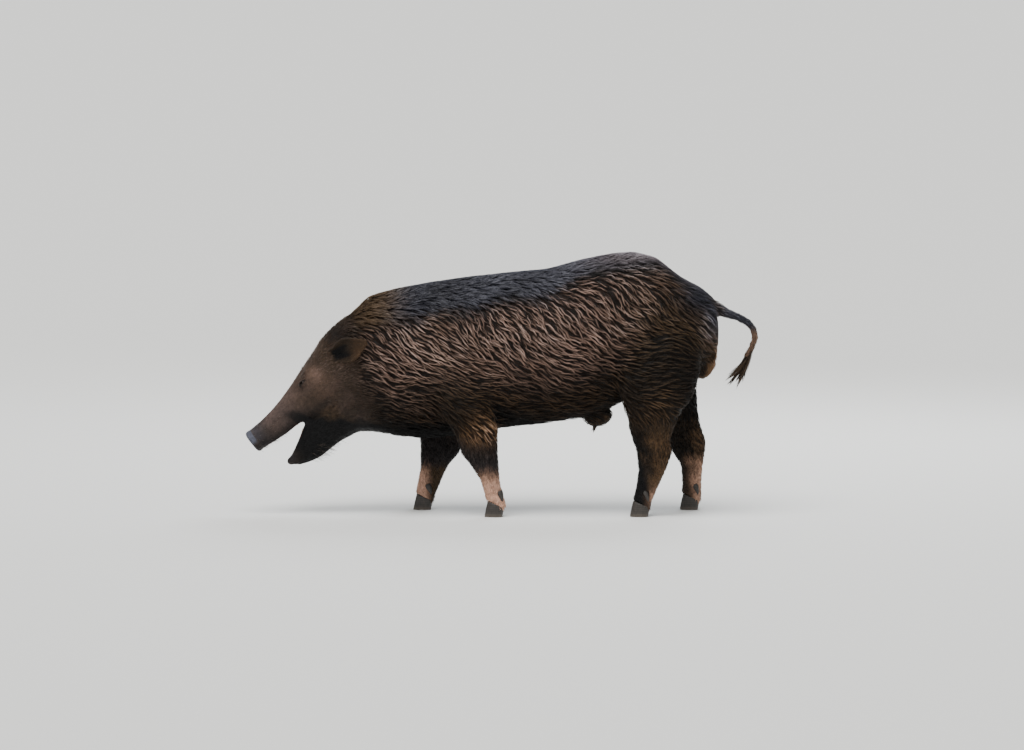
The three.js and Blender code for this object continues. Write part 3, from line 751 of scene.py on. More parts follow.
def look_round(points, shares):
    """What the colour rules ask about each point, under short names."""
    at = SimpleNamespace(points=points, **dict(zip(PARTS, shares.T)))
    at.x, at.y, at.z = points.T
    at.near, at.fore = at.x > 0, at.y < 0.15
    at.trunk = amount(shares, *TRUNK)
    at.head = at.face + at.snout
    at.ears = at.ear_left + at.ear_right
    at.low = at.lower + at.foot
    at.high = trunk_height(points) + 0.05 * patches(points, 0.022, 1)
    at.over_line = over_slate_and_sheen_line(points)
    at.back, at.over, _ = on_head(points)
    at.blotch = patches(points, 0.013, 8)
    at.by_eye = in_profile(points, (-0.500, 0.372), (0.030, 0.024))
    at.crown = in_profile(points, (-0.440, 0.470), (0.060, 0.070)) * (1 - at.ears)
    at.chin = in_profile(points, (-0.560, 0.148), (0.022, 0.022)) * at.jaw
    at.knee = at.low * ramp(at.z, 0.105, 0.135) * (1 - ramp(at.z, 0.20, 0.24)) * at.fore
    leg_middle = np.where(at.near, 0.385, 0.503)
    at.behind = ramp(at.y - leg_middle + 0.014 * patches(points, 0.016, 9), -0.028, 0.028)
    at.tail_end = 1 - ramp(at.z, 0.470, 0.505)
    return at


def russet_and_sheen_places(at):
    flank = at.trunk * ramp(at.high, 0.10, 0.46) * (1 - ramp(at.over_line, -0.05, 0.06))
    flank *= ramp(at.y, -0.44, -0.34) * (1 - 0.75 * ramp(at.y, 0.18, 0.50))
    flank += 0.7 * at.upper * ramp(at.z, 0.30, 0.42) * (1 - ramp(at.y, -0.02, 0.10))
    # Painted sheen on the top of the face and round the eye, as under light from above; the flanks are
    # rust-red hair.
    sheen_on_top_of_face = ramp(at.over, 0.000, 0.032) * (1 - ramp(at.back, 0.21, 0.29))
    side_of_head = ramp(at.back, 0.20, 0.26) * np.clip(0.10 + 0.35 * at.blotch, 0, 0.5)
    cheek = in_profile(at.points, (-0.405, 0.292), (0.045, 0.022)) * (0.45 + 0.3 * at.blotch)
    return np.maximum.reduce([
        flank,
        at.head * sheen_on_top_of_face * (0.34 + 0.14 * at.blotch),
        at.head * at.by_eye * (0.60 + 0.2 * at.blotch),
        at.head * side_of_head,
        (at.head + at.jaw + at.neck) * cheek,
    ])


def slate_and_sheen_places(at):
    # Dark slate-grey hair; on the saddle, the rear of the rump and the tail it carries a painted bluish sky
    # sheen.
    saddle = ramp(at.over_line, -0.06, 0.06) * ramp(at.y, -0.36, -0.24)
    rear = ramp(at.y + 0.25 * at.z, 0.575, 0.645) * ramp(at.high, 0.24, 0.48)
    muzzle = 0.20 + 0.35 * (1 - ramp(at.back, 0.10, 0.20))
    return np.maximum.reduce([
        at.trunk * saddle, at.trunk * rear, at.tail * (1 - at.tail_end), at.head * muzzle,
        0.65 * at.knee, 0.7 * at.chin,
    ])


def ember_places(at):
    mirrored = np.column_stack([np.abs(at.x), at.y, at.z])
    forearm = swelling(mirrored, (0.12, -0.062, 0.236), (0.08, 0.066, 0.050))
    under_tail = swelling(at.points, (0, 0.565, 0.425), (0.110, 0.034, 0.058))
    thigh = at.upper * ~at.fore * ramp(-at.z, -0.42, -0.26)
    hock = at.low * ~at.fore * at.behind * (1 - ramp(at.z, 0.20, 0.26))
    belly_side = at.trunk * (1 - ramp(at.high, 0.16, 0.34)) * ramp(at.high, 0.0, 0.12)
    return np.maximum.reduce([
        forearm, at.scrotum, under_tail, 0.35 * thigh, 0.45 * hock, 0.30 * belly_side,
        0.75 * at.ears * ramp(at.y, -0.410, -0.375), 0.30 * at.crown, 0.30 * at.sheath,
    ])


def rosy_and_sheen_places(at):
    ragged_z = at.z + 0.012 * patches(at.points, 0.010, 4)
    front_edge = ramp(-(at.y - np.where(at.near, -0.030, -0.195)), -0.012, 0.020)
    fore_foot = (1 - ramp(ragged_z, 0.085, 0.140)) * np.where(at.near, 0.9, front_edge)
    hind_foot = np.where(at.near, 1 - ramp(at.z, 0.05, 0.09), 1 - ramp(ragged_z, 0.10, 0.16)) * at.behind
    temple = in_profile(at.points, (-0.470, 0.335), (0.045, 0.040))
    # A faint painted sheen on the croup and round the eye; the lower legs are rosy skin.
    croup_sheen = swelling(at.points, (0, 0.34, 0.68), (1, 0.12, 1)) * ramp(at.over_line, 0.0, 0.08)
    muzzle = ramp(at.back, 0.03, 0.07) * (1 - ramp(at.back, 0.17, 0.24))
    return np.maximum.reduce([
        at.low * np.where(at.fore, fore_foot, 0.6 * hind_foot),
        0.22 * at.tail * at.tail_end, 0.13 * temple, 0.05 * at.trunk * croup_sheen,
        0.09 * at.head * at.by_eye, 0.045 * at.head * muzzle,
    ])


def soot_and_shade_places(at):
    # Painted shade on the belly below the line and under the throat and the jaw; the crown, ears, knees, shins
    # and tail are black hair.
    over_soot_and_shade_line = at.high - np.interp(at.y, *np.array(SOOT_AND_SHADE_LINE).T)
    shin = at.low * ~at.fore * (1 - at.behind) * (1 - ramp(at.z, 0.20, 0.28))
    throat = ramp(-at.z - 0.10 * (at.y + 0.45) + 0.006 * at.blotch, -0.272, -0.248)
    jaw = (0.84 + 0.15 * at.blotch) * ramp(-at.z, -0.275, -0.225)
    under_chin = np.maximum.reduce([
        at.trunk * (1 - ramp(over_soot_and_shade_line, -0.05, 0.06)),
        at.knee * np.where(at.near, 0.28, 0.55),
        shin * np.where(at.near, 1, 0.75),
        0.88 * at.crown,
        0.42 * (at.face + at.jaw) * (1 - at.by_eye) * ramp(at.back, 0.13, 0.20),
        (at.jaw + at.neck + at.face) * throat,
        at.jaw * jaw,
    ]) * (1 - 0.6 * at.chin)
    # Painted shade on the lower half of the muzzle and under the disc.
    upper_lip = (1 - ramp(at.over, -0.034, 0.002)) * (1 - ramp(at.back, 0.20, 0.30))
    under_disc = ramp(-at.over, 0.002, 0.016) * (1 - ramp(at.back, 0.020, 0.050))
    return np.maximum.reduce([
        under_chin,
        0.75 * at.head * upper_lip,
        0.60 * at.ears,
        0.7 * (at.pad + at.head) * under_disc,
        0.6 * at.tail * ramp(-at.z, -0.430, -0.395),
        # painted shade on the upper legs of the far side
        0.8 * at.upper * (at.x < 0) * (1 - ramp(at.z, 0.30, 0.40)),
        in_ear(at.points),
        0.9 * in_profile(at.points, (-0.496, 0.256), (0.040, 0.044)),    # painted shade in the corner of the mouth
    ])


def markings(points, shares):
    """One column of 0 to 1 for each colour, in the order in which they are laid on."""
    at = look_round(points, shares)
    marks = [russet_and_sheen_places(at), slate_and_sheen_places(at), ember_places(at), rosy_and_sheen_places(at), soot_and_shade_places(at)]
    return np.clip(np.column_stack(marks), 0, 1)


PAINTED_SHEEN_PLACES = (                 # (back, up), reach, least painted sheen
    ((-0.060, 0.236), (0.070, 0.056), 1.42),     # golden forearm
    ((0.560, 0.430), (0.034, 0.080), 1.35),      # below the tail
    ((0.320, 0.700), (0.190, 0.060), 1.49),      # top of the rump
    ((0.200, 0.680), (0.100, 0.040), 1.15),      # loin
    ((0.530, 0.510), (0.050, 0.080), 1.46),      # root of the tail
    ((0.400, 0.280), (0.090, 0.140), 0.88),      # hind leg
)


# Painted sheen on the crests, by height from the belly line to the back line.
PAINTED_SHEEN_BY_HEIGHT = ((0.0, 0.12, 0.30, 0.48, 0.62, 1.0), (0.44, 0.60, 0.82, 1.00, 1.22, 1.05))


def crest_shine(points):
    """How brightly the crests of the locks are painted, as if lit from above: a painted highlight."""
    high = trunk_height(points)
    shine = np.interp(high, *PAINTED_SHEEN_BY_HEIGHT)
    # Weaker painted sheen on the rear of the rump and over the shoulder.
    rear = ramp(points[:, 1], 0.28, 0.46) * (1 - ramp(high, 0.70, 0.85))
    shoulder = in_profile(points, (-0.180, 0.590), (0.110, 0.070))
    shine *= (1 - 0.18 * rear) * (1 - 0.16 * shoulder)
    for centre, reach, least in PAINTED_SHEEN_PLACES:
        shine = np.maximum(shine, least * in_profile(points, centre, reach))
    legs = ramp(-points[:, 2], -0.20, -0.12)
    return np.maximum(shine, 0.85 * legs) * (0.94 + 0.10 * patches(points, 0.05, 6))


def store_marks(mesh, marks):
    for name, column in zip(MARKS, marks.T):
        keep_as_attribute(mesh, name, column)


points = points_of(skin_mesh)
skin_marks = markings(points, share)
store_marks(skin_mesh, skin_marks)
print({name: round(float(column.mean()), 2) for name, column in zip(MARKS, skin_marks.T)})

# %% [markdown]
# ## The lie of the coat
# Hair starts at the nose and runs back over the body and down the legs. Each part of the body
# has its own heading, the headings are blended like the colours, and a slow wandering is
# added so that no two locks run quite alike.

# %% Headings of the hair
# Outward, back and up, for the left side; the right side is its mirror image.
LIE = {
    "pad": (0, 0.79, 0.62), "snout": (0, 0.79, 0.62), "face": (0.05, 0.85, 0.45),
    "jaw": (0, 0.95, 0.25), "ear_left": EAR_AXIS, "ear_right": EAR_AXIS,
    "neck": (0, 1, -0.70), "chest": (0, 1, -0.90), "barrel": (0, 1, -0.90), "rump": (0, 1, -0.90),
    "upper": (0, 1, -0.62), "lower": (0, 0.15, -1), "foot": (0, 0.05, -1), "tail": (0, 1, 0),
    "scrotum": (0, 0.1, -1), "sheath": (0, 0.6, -0.8),
}
LIE_TABLE = np.array([LIE[part] for part in PARTS])
# How steeply the hair falls, from the belly line to the back line.
FALL_BY_HEIGHT = ((0.0, 0.15, 0.38, 0.58, 0.74, 0.86, 1.0), (0.05, 0.22, 0.42, 0.95, 1.60, 0.55, 0.05))


def tail_heading(points):
    starts, ends = TAIL_LINE[:-1], TAIL_LINE[1:]
    gaps = np.linalg.norm(points[:, None] - (starts + ends)[None] / 2, axis=2)
    return unit(ends - starts)[gaps.argmin(axis=1)]


def headings(points, normals, shares):
    heading = shares @ LIE_TABLE
    heading[:, 0] *= np.sign(points[:, 0])
    high = trunk_height(points)
    trunk = amount(shares, *TRUNK) + amount(shares, "upper") * ramp(points[:, 2], 0.26, 0.36)
    heading[:, 2] *= 1 - trunk + trunk * np.interp(high, *FALL_BY_HEIGHT)
    tail = amount(shares, "tail")[:, None]
    heading = heading * (1 - tail) + tail_heading(points) * tail
    heading -= (heading * normals).sum(axis=1)[:, None] * normals
    return unit(heading)


def turned(vectors, axes, angle):
    """Turns vectors that are square to their axes."""
    return vectors * np.cos(angle)[:, None] + np.cross(axes, vectors) * np.sin(angle)[:, None]


# %% [markdown]
# ## Sowing the hair
# Roots are sown on the triangles of the skin, in proportion to their area and to how thick the
# hair grows there. A second, thinner sowing gives the locks: wet hair gathers, and every tuft
# leans towards the nearest lock as it grows.

# %% Sow roots over the skin
FINENESS = 1.0
corners = np.array([tuple(p.vertices) for p in skin_mesh.polygons])
skin_points = points_of(skin_mesh)
skin_normals = normals_of(skin_mesh)
skin_tree = BVHTree.FromPolygons([Vector(p) for p in skin_points], corners.tolist())
PER_SQUARE_CM = 1e4


def hair_density():
    """Tufts to a square metre at each point of the skin."""
    back, height, aside = on_head(skin_points)
    density = share @ COAT_TABLE[:, DENSITY] * PER_SQUARE_CM
    density *= 1 - 0.85 * (1 - ramp(back, 0.10, 0.30)) * amount(share, "face")
    density *= ~near_eyes(skin_points, 0.017)
    lips = in_profile(skin_points, (-0.585, 0.205), (0.050, 0.050))
    inside = lips * (aside < 0.020 + 0.1 * ramp(back, 0.05, 0.15))
    inside *= skin_normals[:, 2] * np.where(height > -0.045, -1, 1) > 0.3
    return density * (1 - np.clip(2 * inside, 0, 1))


def sow(density, seed):
    """Triangle and place in it for each root, spread evenly by area times density."""
    draw = np.random.default_rng(seed)
    a, b, c = (skin_points[corners[:, i]] for i in range(3))
    area = np.linalg.norm(np.cross(b - a, c - a), axis=1) / 2
    running = np.cumsum(area * density[corners].mean(axis=1))
    count = int(running[-1])
    picks = (np.arange(count) + draw.uniform(0, 1, count)) / count * running[-1]
    triangle = np.minimum(np.searchsorted(running, picks), len(corners) - 1)
    first, second = draw.uniform(0, 1, (2, count))
    over = first + second > 1
    first[over], second[over] = 1 - first[over], 1 - second[over]
    weights = np.column_stack([1 - first - second, first, second])
    return triangle, weights


def at_roots(values, triangle, weights):
    chosen = values[corners[triangle]]
    return (chosen * weights.reshape(weights.shape + (1,) * (chosen.ndim - 2))).sum(axis=1)


density = hair_density() * FINENESS
triangle, weights = sow(density, seed=11)
root = at_roots(skin_points, triangle, weights)
root_normal = unit(at_roots(skin_normals, triangle, weights))
root_share = at_roots(share, triangle, weights)
print("tufts sown:", len(root))

# %% Comb the locks over the body
WAVE_LENGTH = 0.034
LOCK_STEPS = 5
LOCK_REACH = 1.1                 # a lock's line is a little longer than its hair
TUFTS_TO_A_LOCK = {"neck": 9, "chest": 9, "barrel": 9, "rump": 9, "upper": 7}
lock_size = np.array([TUFTS_TO_A_LOCK.get(part, 5) for part in PARTS], float)


def land(points):
    """The nearest place on the skin, and the skin's outward direction there."""
    found = [skin_tree.find_nearest(Vector(point)) for point in points]
    return np.array([f[0] for f in found]), np.array([f[1] for f in found])


def comb(start, normal, heading, length):
    """Walks each lock along the skin, a step at a time."""
    path, ways, ups = [start], [heading], [normal]
    for _ in range(LOCK_STEPS):
        landed, up = land(path[-1] + ways[-1] * (length / LOCK_STEPS)[:, None])
        up = unit(up)
        way = ways[-1] - (ways[-1] * up).sum(axis=1)[:, None] * up
        path.append(landed)
        ways.append(unit(way))
        ups.append(up)
    return np.stack(path, axis=1), np.stack(ways, axis=1), np.stack(ups, axis=1)


lock_triangle, lock_weights = sow(density / (share @ lock_size), seed=12)
lock_root = at_roots(skin_points, lock_triangle, lock_weights)
lock_normal = unit(at_roots(skin_normals, lock_triangle, lock_weights))
lock_share = at_roots(share, lock_triangle, lock_weights)
lock_length = lock_share @ COAT_TABLE[:, LENGTH] * MM
draw = np.random.default_rng(13)
lock_heading = headings(lock_root, lock_normal, lock_share)
wander = 0.24 * patches(lock_root, 0.020, 2) + 0.13 * draw.normal(size=len(lock_root))
lock_heading = turned(lock_heading, lock_normal, wander)
lock_path, lock_way, lock_up = comb(lock_root, lock_normal, lock_heading, lock_length * LOCK_REACH)
lock_phase = 3.0 * patches(lock_root, 0.030, 3) + draw.uniform(-0.8, 0.8, len(lock_root))    # radians
print("locks:", len(lock_root))

# %% [markdown]
# ## Growing the tufts
# A tuft is a thin ridge with three sides, closed at the root and drawn out to a point. It
# starts at its own root and is drawn to the line of its lock. The tufts in the middle of a
# lock ride high, catch the light and are painted lighter as well, a painted highlight; those at
# its edges stay low and are painted darker, a painted shade, which is what makes a wet coat
# look combed into ridges.

# %% Give every tuft its lock
SQUEEZE = 0.60                   # locks are longer than wide, so distance along them counts less
SQUEEZED_WAY = unit(np.array([0, 0.87, -0.50]))


def squeezed(points):
    return points - SQUEEZE * (points @ SQUEEZED_WAY)[:, None] * SQUEEZED_WAY


lock_tree = KDTree(len(lock_root))
for index, place in enumerate(squeezed(lock_root)):
    lock_tree.insert(Vector(place), index)
lock_tree.balance()
lock_of = np.array([lock_tree.find(Vector(place))[1] for place in squeezed(root)])


def on_lock(table, lock, share_of_way):
    """A value on the way along each lock, 0 at its root and 1 at its end."""
    place = np.clip(share_of_way, 0, 1) * LOCK_STEPS
    low = np.minimum(place.astype(int), LOCK_STEPS - 1)
    rest = (place - low)[:, None]
    return table[lock, low] * (1 - rest) + table[lock, low + 1] * rest


# %% Grow the tufts
LONG_STAGES = np.array([0, 0.30, 0.58, 0.82, 1.0])
SHORT_STAGES = np.array([0, 0.55, 1.0])
SHORT_LENGTH = 0.022             # tufts under this length get the short stages
LOCK_HALF_WIDTH = 0.0031
ROOT_DEPTH = 0.0008              # a root starts this far below the skin


def fringe(points, shares):
    """1 just above the hooves, where the hair hangs free over the edge of the skin."""
    return (amount(shares, "foot") * (1 - ramp(points[:, 2], 0.042, 0.052)))[:, None]


def sleekness(points, shares):
    """1 along the back, where the wet hair lies flat, and 0 where it is drawn into ridges."""
    rear = 0.6 * ramp(points[:, 1] + 0.25 * points[:, 2], 0.60, 0.66)
    return amount(shares, *TRUNK) * np.maximum(ramp(over_slate_and_sheen_line(points), -0.02, 0.07), rear)


def middle_of_lock(across):
    return np.exp(-(across / LOCK_HALF_WIDTH) ** 2)


def crest_heights(across, gathering, sleek, draw):
    """How high each tuft rides: 1 in the middle of a lock, 0 at its edge, even where hair is short."""
    count = len(across)
    crest = middle_of_lock(across) * draw.uniform(0.8, 1.0, count)
    crest = np.where(gathering > 0.5, crest, draw.uniform(0.70, 0.92, count))
    return crest * (1 - sleek) + draw.uniform(0.70, 0.82, count) * sleek


def ribbon_directions(spine, up, rolled):
    """Sideways and outward directions along each spine, rolled a little about it."""
    forward = np.empty_like(spine)
    forward[:, :-1] = spine[:, 1:] - spine[:, :-1]
    forward[:, 1:-1] += spine[:, 1:-1] - spine[:, :-2]
    forward[:, -1] = spine[:, -1] - spine[:, -2]
    side = unit(np.cross(unit(forward), up))
    rolled = rolled[:, None, None]
    return unit(side + rolled * up), unit(up - rolled * side)


def grow(chosen, stages, seed):
    """Middle line, sideways and outward directions, width, painted light and shade, and length of the chosen
    tufts.
    """
    draw = np.random.default_rng(seed)
    count = len(chosen)
    base, shares, lock = root[chosen], root_share[chosen], lock_of[chosen]
    measures = shares @ COAT_TABLE
    back = on_head(base)[0]
    behind_face = ramp(back, 0.25, 0.37) * amount(shares, "face", "jaw")
    face_taper = 1 - 0.6 * (1 - ramp(back, 0.08, 0.30)) * amount(shares, "face")
    face_taper = (face_taper + 0.9 * behind_face) * mane_start(base, shares)
    sleek = sleekness(base, shares)
    length = measures[:, LENGTH] * MM * draw.uniform(0.72, 1.1, count) * face_taper
    width = measures[:, WIDTH] * MM * draw.uniform(0.7, 1.25, count) * face_taper ** 0.5
    width *= 1 + 0.4 * sleek
    offset = base - lock_root[lock]
    across = (offset * np.cross(lock_way[lock, 0], lock_up[lock, 0])).sum(axis=1)
    gathering = (measures[:, GATHERING] + 0.4 * behind_face) * draw.uniform(0.75, 1.1, count)
    gathering *= (1 - 0.75 * sleek) * (0.62 + 0.38 * middle_of_lock(across))
    crest = crest_heights(across, measures[:, GATHERING], sleek, draw)
    rolled = draw.uniform(-0.5, 0.5, count) * (1 - 0.8 * sleek)
    wave = measures[:, WAVE] * MM * (1 - 0.6 * sleek)
    deep = coat_depth(base, shares)
    hanging = fringe(base, shares)
    places, ups = [base - root_normal[chosen] * ROOT_DEPTH], [root_normal[chosen]]
    for stage in stages[1:]:
        on_line = stage * length / (lock_length[lock] * LOCK_REACH)
        line, way, up = (on_lock(table, lock, on_line) for table in (lock_path, lock_way, lock_up))
        held = 1 - np.clip(gathering, 0, 0.95) * stage ** 0.8
        turn = 2 * math.pi * stage * length / WAVE_LENGTH + lock_phase[lock]
        swing = 0.6 * wave * (np.sin(turn) - np.sin(lock_phase[lock]))
        place, outward = land(line + offset * held[:, None] + np.cross(way, up) * swing[:, None])
        level = (0.20 + 0.95 * crest) * (1 - stage * 0.4) + 0.9 * stage * 0.4
        rise = deep * level * (1 - (1 - stage) ** 2.4) - 0.3 * width
        free = base + lock_way[lock, 0] * (stage * length)[:, None]
        outward = unit(outward * (1 - hanging) + root_normal[chosen] * hanging)
        places.append(place * (1 - hanging) + free * hanging + outward * rise[:, None])
        ups.append(outward)
    spine = np.stack(places, axis=1)
    side, up = ribbon_directions(spine, unit(np.stack(ups, axis=1)), rolled)
    profile = np.interp(stages, (0, 0.25, 0.6, 0.85, 1), (0.75, 1.0, 0.85, 0.5, 0))
    # Painted light: a tuft high in the middle of a lock gets a painted highlight, one at its edge painted
    # shade, with some random tone.
    shade = crest * crest_shine(base) * (1 + draw.uniform(-0.20, 0.15, count) * (1 - 0.6 * sleek))
    return spine, side, up, width[:, None] * profile, shade, length


# %% Charts: where a root lies on a flat pattern of its part
PATCH = 0.003                    # size of one tuft on the flat pattern
SLICES = 12                      # a bent part is unrolled slice by slice


def stretched(values):
    return 0.01 + 0.98 * (values - values.min()) / max(np.ptp(values), 1e-6)


def unwrapped(p, q, way, p_middle=None):
    """Angle round a middle line, and the distance along it, both from 0 to 1."""
    bins = np.clip((stretched(way) * SLICES).astype(int), 0, SLICES - 1)
    count = np.maximum(np.bincount(bins, minlength=SLICES), 1)
    middles = (np.arange(SLICES) + 0.5) / SLICES
    p_line = np.bincount(bins, p, SLICES) / count if p_middle is None else np.full(SLICES, p_middle)
    q_line = np.bincount(bins, q, SLICES) / count
    p_mid = np.interp(stretched(way), middles, p_line)
    q_mid = np.interp(stretched(way), middles, q_line)
    return np.column_stack([stretched(np.arctan2(p - p_mid, q - q_mid)), stretched(way)])


# %% Turn tufts into one mesh
STRAND_LENGTH = 20 * MM          # one unit of the streaks' own pattern along a tuft


def tufts_to_mesh(name, spine, side, up, width, chart, marks, shade, length):
    """Three-sided ridges as one mesh, with their patches on the pattern and their colours."""
    count, rings = len(spine), spine.shape[1] - 1
    wide = (side * width[:, :, None] / 2)[:, :-1]
    tall = (up * width[:, :, None] * 0.5)[:, :-1]
    ring = np.stack([spine[:, :-1] - wide, spine[:, :-1] + wide, spine[:, :-1] + tall], axis=2)
    vertices = np.concatenate([ring.reshape(count, rings * 3, 3), spine[:, -1:]], axis=1)
    each = rings * 3 + 1
    turns = ((1, 0), (2, 1), (0, 2))            # in this order the faces point outwards
    quads = [(3 * r + a, 3 * r + b, 3 * r + 3 + b, 3 * r + 3 + a) for r in range(rings - 1) for a, b in turns]
    tips = [(3 * (rings - 1) + a, 3 * (rings - 1) + b, 3 * rings) for a, b in turns]
    faces = quads + tips + [(0, 1, 2)]
    loops_of_one = np.concatenate([np.array(f) for f in faces])
    sizes = np.array([len(f) for f in faces])
    loops = (loops_of_one[None] + each * np.arange(count)[:, None]).ravel()
    starts = np.concatenate([[0], np.cumsum(np.tile(sizes, count))[:-1]])
    mesh = bpy.data.meshes.new(name)
    mesh.vertices.add(count * each)
    mesh.vertices.foreach_set("co", vertices.astype(np.float32).ravel())
    mesh.loops.add(len(loops))
    mesh.loops.foreach_set("vertex_index", loops.astype(np.int32))
    mesh.polygons.add(len(starts))
    mesh.polygons.foreach_set("loop_start", starts.astype(np.int32))
    along = np.append(np.repeat(np.arange(rings) / rings, 3), 1.0)
    aside = np.append(np.tile([-0.5, 0.5, 0.0], rings), 0.0)
    patch = chart[:, None] + PATCH * np.column_stack([aside, along - 0.5])[None]
    uv = mesh.uv_layers.new(name="OFBake")
    uv.data.foreach_set("uv", patch.reshape(-1, 2)[loops].astype(np.float32).ravel())
    keep_as_attribute(mesh, "along", np.tile(along, count))
    keep_as_attribute(mesh, "shade", np.repeat(shade, each))
    strand = np.zeros((count, each, 3))
    strand[:, :, 0] = aside + np.arange(count)[:, None] % 97
    strand[:, :, 1] = along * length[:, None] / STRAND_LENGTH
    keep_as_attribute(mesh, "strand", strand.reshape(-1, 3))
    store_marks(mesh, np.repeat(marks, each, axis=0))
    mesh.update(calc_edges=True)
    mesh.validate()
    smooth_shaded(mesh)
    return mesh


def joined(name, meshes):
    """Several tuft meshes as one piece."""
    pieces = [new_object(name if i == 0 else f"{name}_{i}", mesh) for i, mesh in enumerate(meshes)]
    if len(pieces) > 1:
        with bpy.context.temp_override(active_object=pieces[0], selected_editable_objects=pieces):
            bpy.ops.object.join()
    return pieces[0]


def triangles_in(mesh):
    return len(mesh.loops) - 2 * len(mesh.polygons)


# %% Sort the tufts into coat pieces
part_index = root_share.argmax(axis=1)
part_name = np.array(PARTS)[part_index]
left = root[:, 0] > 0
fore = root[:, 1] < 0.15
on_leg = np.isin(part_name, ("upper", "lower", "foot"))
piece_name = np.full(len(root), "coat_head", dtype=object)
for part in ("chest", "barrel", "rump"):
    for hand, chosen in (("left", left), ("right", ~left)):
        piece_name[(part_name == part) & chosen] = f"coat_{part}_{hand}"
for hand, chosen in (("left", left), ("right", ~left)):
    piece_name[on_leg & fore & chosen] = f"coat_foreleg_{hand}"
    piece_name[on_leg & ~fore & chosen] = f"coat_hindleg_{hand}"
    piece_name[part_name == f"ear_{hand}"] = "coat_ears"
piece_name[part_name == "neck"] = "coat_neck"
piece_name[part_name == "tail"] = "coat_tail"
piece_name[np.isin(part_name, ("scrotum", "sheath"))] = "coat_groin"


def chart_for(name, points, normals, parts):
    x, y, z = points.T
    back, height, _ = on_head(points)
    if name == "coat_head":
        return unwrapped(x, height, back, 0.0)
    if "leg" in name:
        return unwrapped(x, y, z)
    if name == "coat_tail":
        gaps = np.linalg.norm(points[:, None] - TAIL_LINE[None], axis=2)
        nearest = TAIL_LINE[gaps.argmin(axis=1)]
        return np.column_stack([stretched(np.arctan2(x, z - nearest[:, 2])), stretched(y - 0.6 * z)])
    if name == "coat_ears":
        axis = unit(np.array(EAR_AXIS))
        mirrored = points * np.where(x > 0, 1, -1)[:, None] ** [[1, 0, 0]]
        flat = np.column_stack([stretched(y - z), stretched(mirrored @ axis)])
        faces_in = normals @ EAR_MOUTH * (x > 0) + (normals * [-1, 1, 1]) @ EAR_MOUTH * (x < 0) > 0
        flat[:, 0] = flat[:, 0] * 0.23 + 0.25 * faces_in + 0.5 * (x > 0)
        return flat
    if name == "coat_groin":
        flat = unwrapped(x, y - np.where(parts == "sheath", 0.25, 0.52), z, 0.0)
        flat[:, 0] = flat[:, 0] * 0.48 + 0.5 * (parts == "sheath")
        return flat
    return unwrapped(x, z, y, 0.0)


# %% Build the coat
coat_pieces = []
tuft_length = root_share @ COAT_TABLE[:, LENGTH] * MM
for seed, name in enumerate(sorted(set(piece_name)), start=100):
    in_piece = piece_name == name
    chart = np.zeros((len(root), 2))
    chart[in_piece] = chart_for(name, root[in_piece], root_normal[in_piece], part_name[in_piece])
    meshes = []
    for stages, is_long in ((LONG_STAGES, True), (SHORT_STAGES, False)):
        chosen = np.flatnonzero(in_piece & ((tuft_length >= SHORT_LENGTH) == is_long))
        if not len(chosen):
            continue
        spine, side, up, width, crest, length = grow(chosen, stages, seed)
        marks = markings(root[chosen], root_share[chosen])
        meshes.append(tufts_to_mesh(name, spine, side, up, width, chart[chosen], marks, crest, length))
    piece = joined(name, meshes)
    coat_pieces.append(piece)
    print(name, in_piece.sum(), "tufts,", triangles_in(piece.data), "triangles")
print("coat:", sum(triangles_in(p.data) for p in coat_pieces), "triangles")

# %% [markdown]
# ## The tuft of the tail
# The tail ends in long hair, which the wet has drawn into eleven pointed strands. Each strand
# is a family of long tufts that start round the tail and share one end point in a loose fan.

# %% Long hanging hair
def hanging_hair(name, roots, ends, sag, width, seed, stages=(0, 0.2, 0.42, 0.64, 0.84, 1.0)):
    """Tufts from roots to ends, bent by `sag`, as one mesh that is coloured like the coat."""
    draw = np.random.default_rng(seed)
    stages = np.array(stages)[None, :, None]
    straight = roots[:, None] * (1 - stages) + ends[:, None] * stages
    spine = straight + sag[:, None] * (4 * stages * (1 - stages))
    forward = np.gradient(spine, axis=1)
    side = unit(np.cross(forward, unit(draw.normal(size=(len(roots), 1, 3)))))
    up = unit(np.cross(side, forward))
    taper = np.interp(stages[0, :, 0], (0, 0.3, 0.8, 1), (0.8, 1, 0.6, 0))
    widths = width * draw.uniform(0.7, 1.3, len(roots))[:, None] * taper
    turn = np.linspace(0.05, 0.95, len(roots))
    chart = np.column_stack([turn, 0.05 + 0.9 * draw.uniform(0, 1, len(roots))])
    marks = np.zeros((len(roots), len(MARKS)))
    marks[:, MARKS.index("soot")] = draw.uniform(0.1, 0.7, len(roots))
    length = np.linalg.norm(ends - roots, axis=1)
    shade = draw.uniform(0.3, 1.0, len(roots))
    return tufts_to_mesh(name, spine, side, up, widths, chart, marks, shade, length)


def fan(count_of_strands, hairs, start, end, start_radius, end_spread, seed):
    """Roots along a short line, and end points gathered into strands."""
    draw = np.random.default_rng(seed)
    tips = end + draw.uniform(-1, 1, (count_of_strands, 3)) * end_spread
    strand = draw.integers(0, count_of_strands, hairs)
    place = draw.uniform(0, 1, hairs)[:, None]
    around = unit(draw.normal(size=(hairs, 3))) * start_radius
    roots = start[0] * (1 - place) + start[1] * place + around
    ends = tips[strand] + draw.normal(size=(hairs, 3)) * 0.9 * MM
    ends = roots + (ends - roots) * draw.uniform(0.72, 1.0, hairs)[:, None]
    return roots, ends, strand


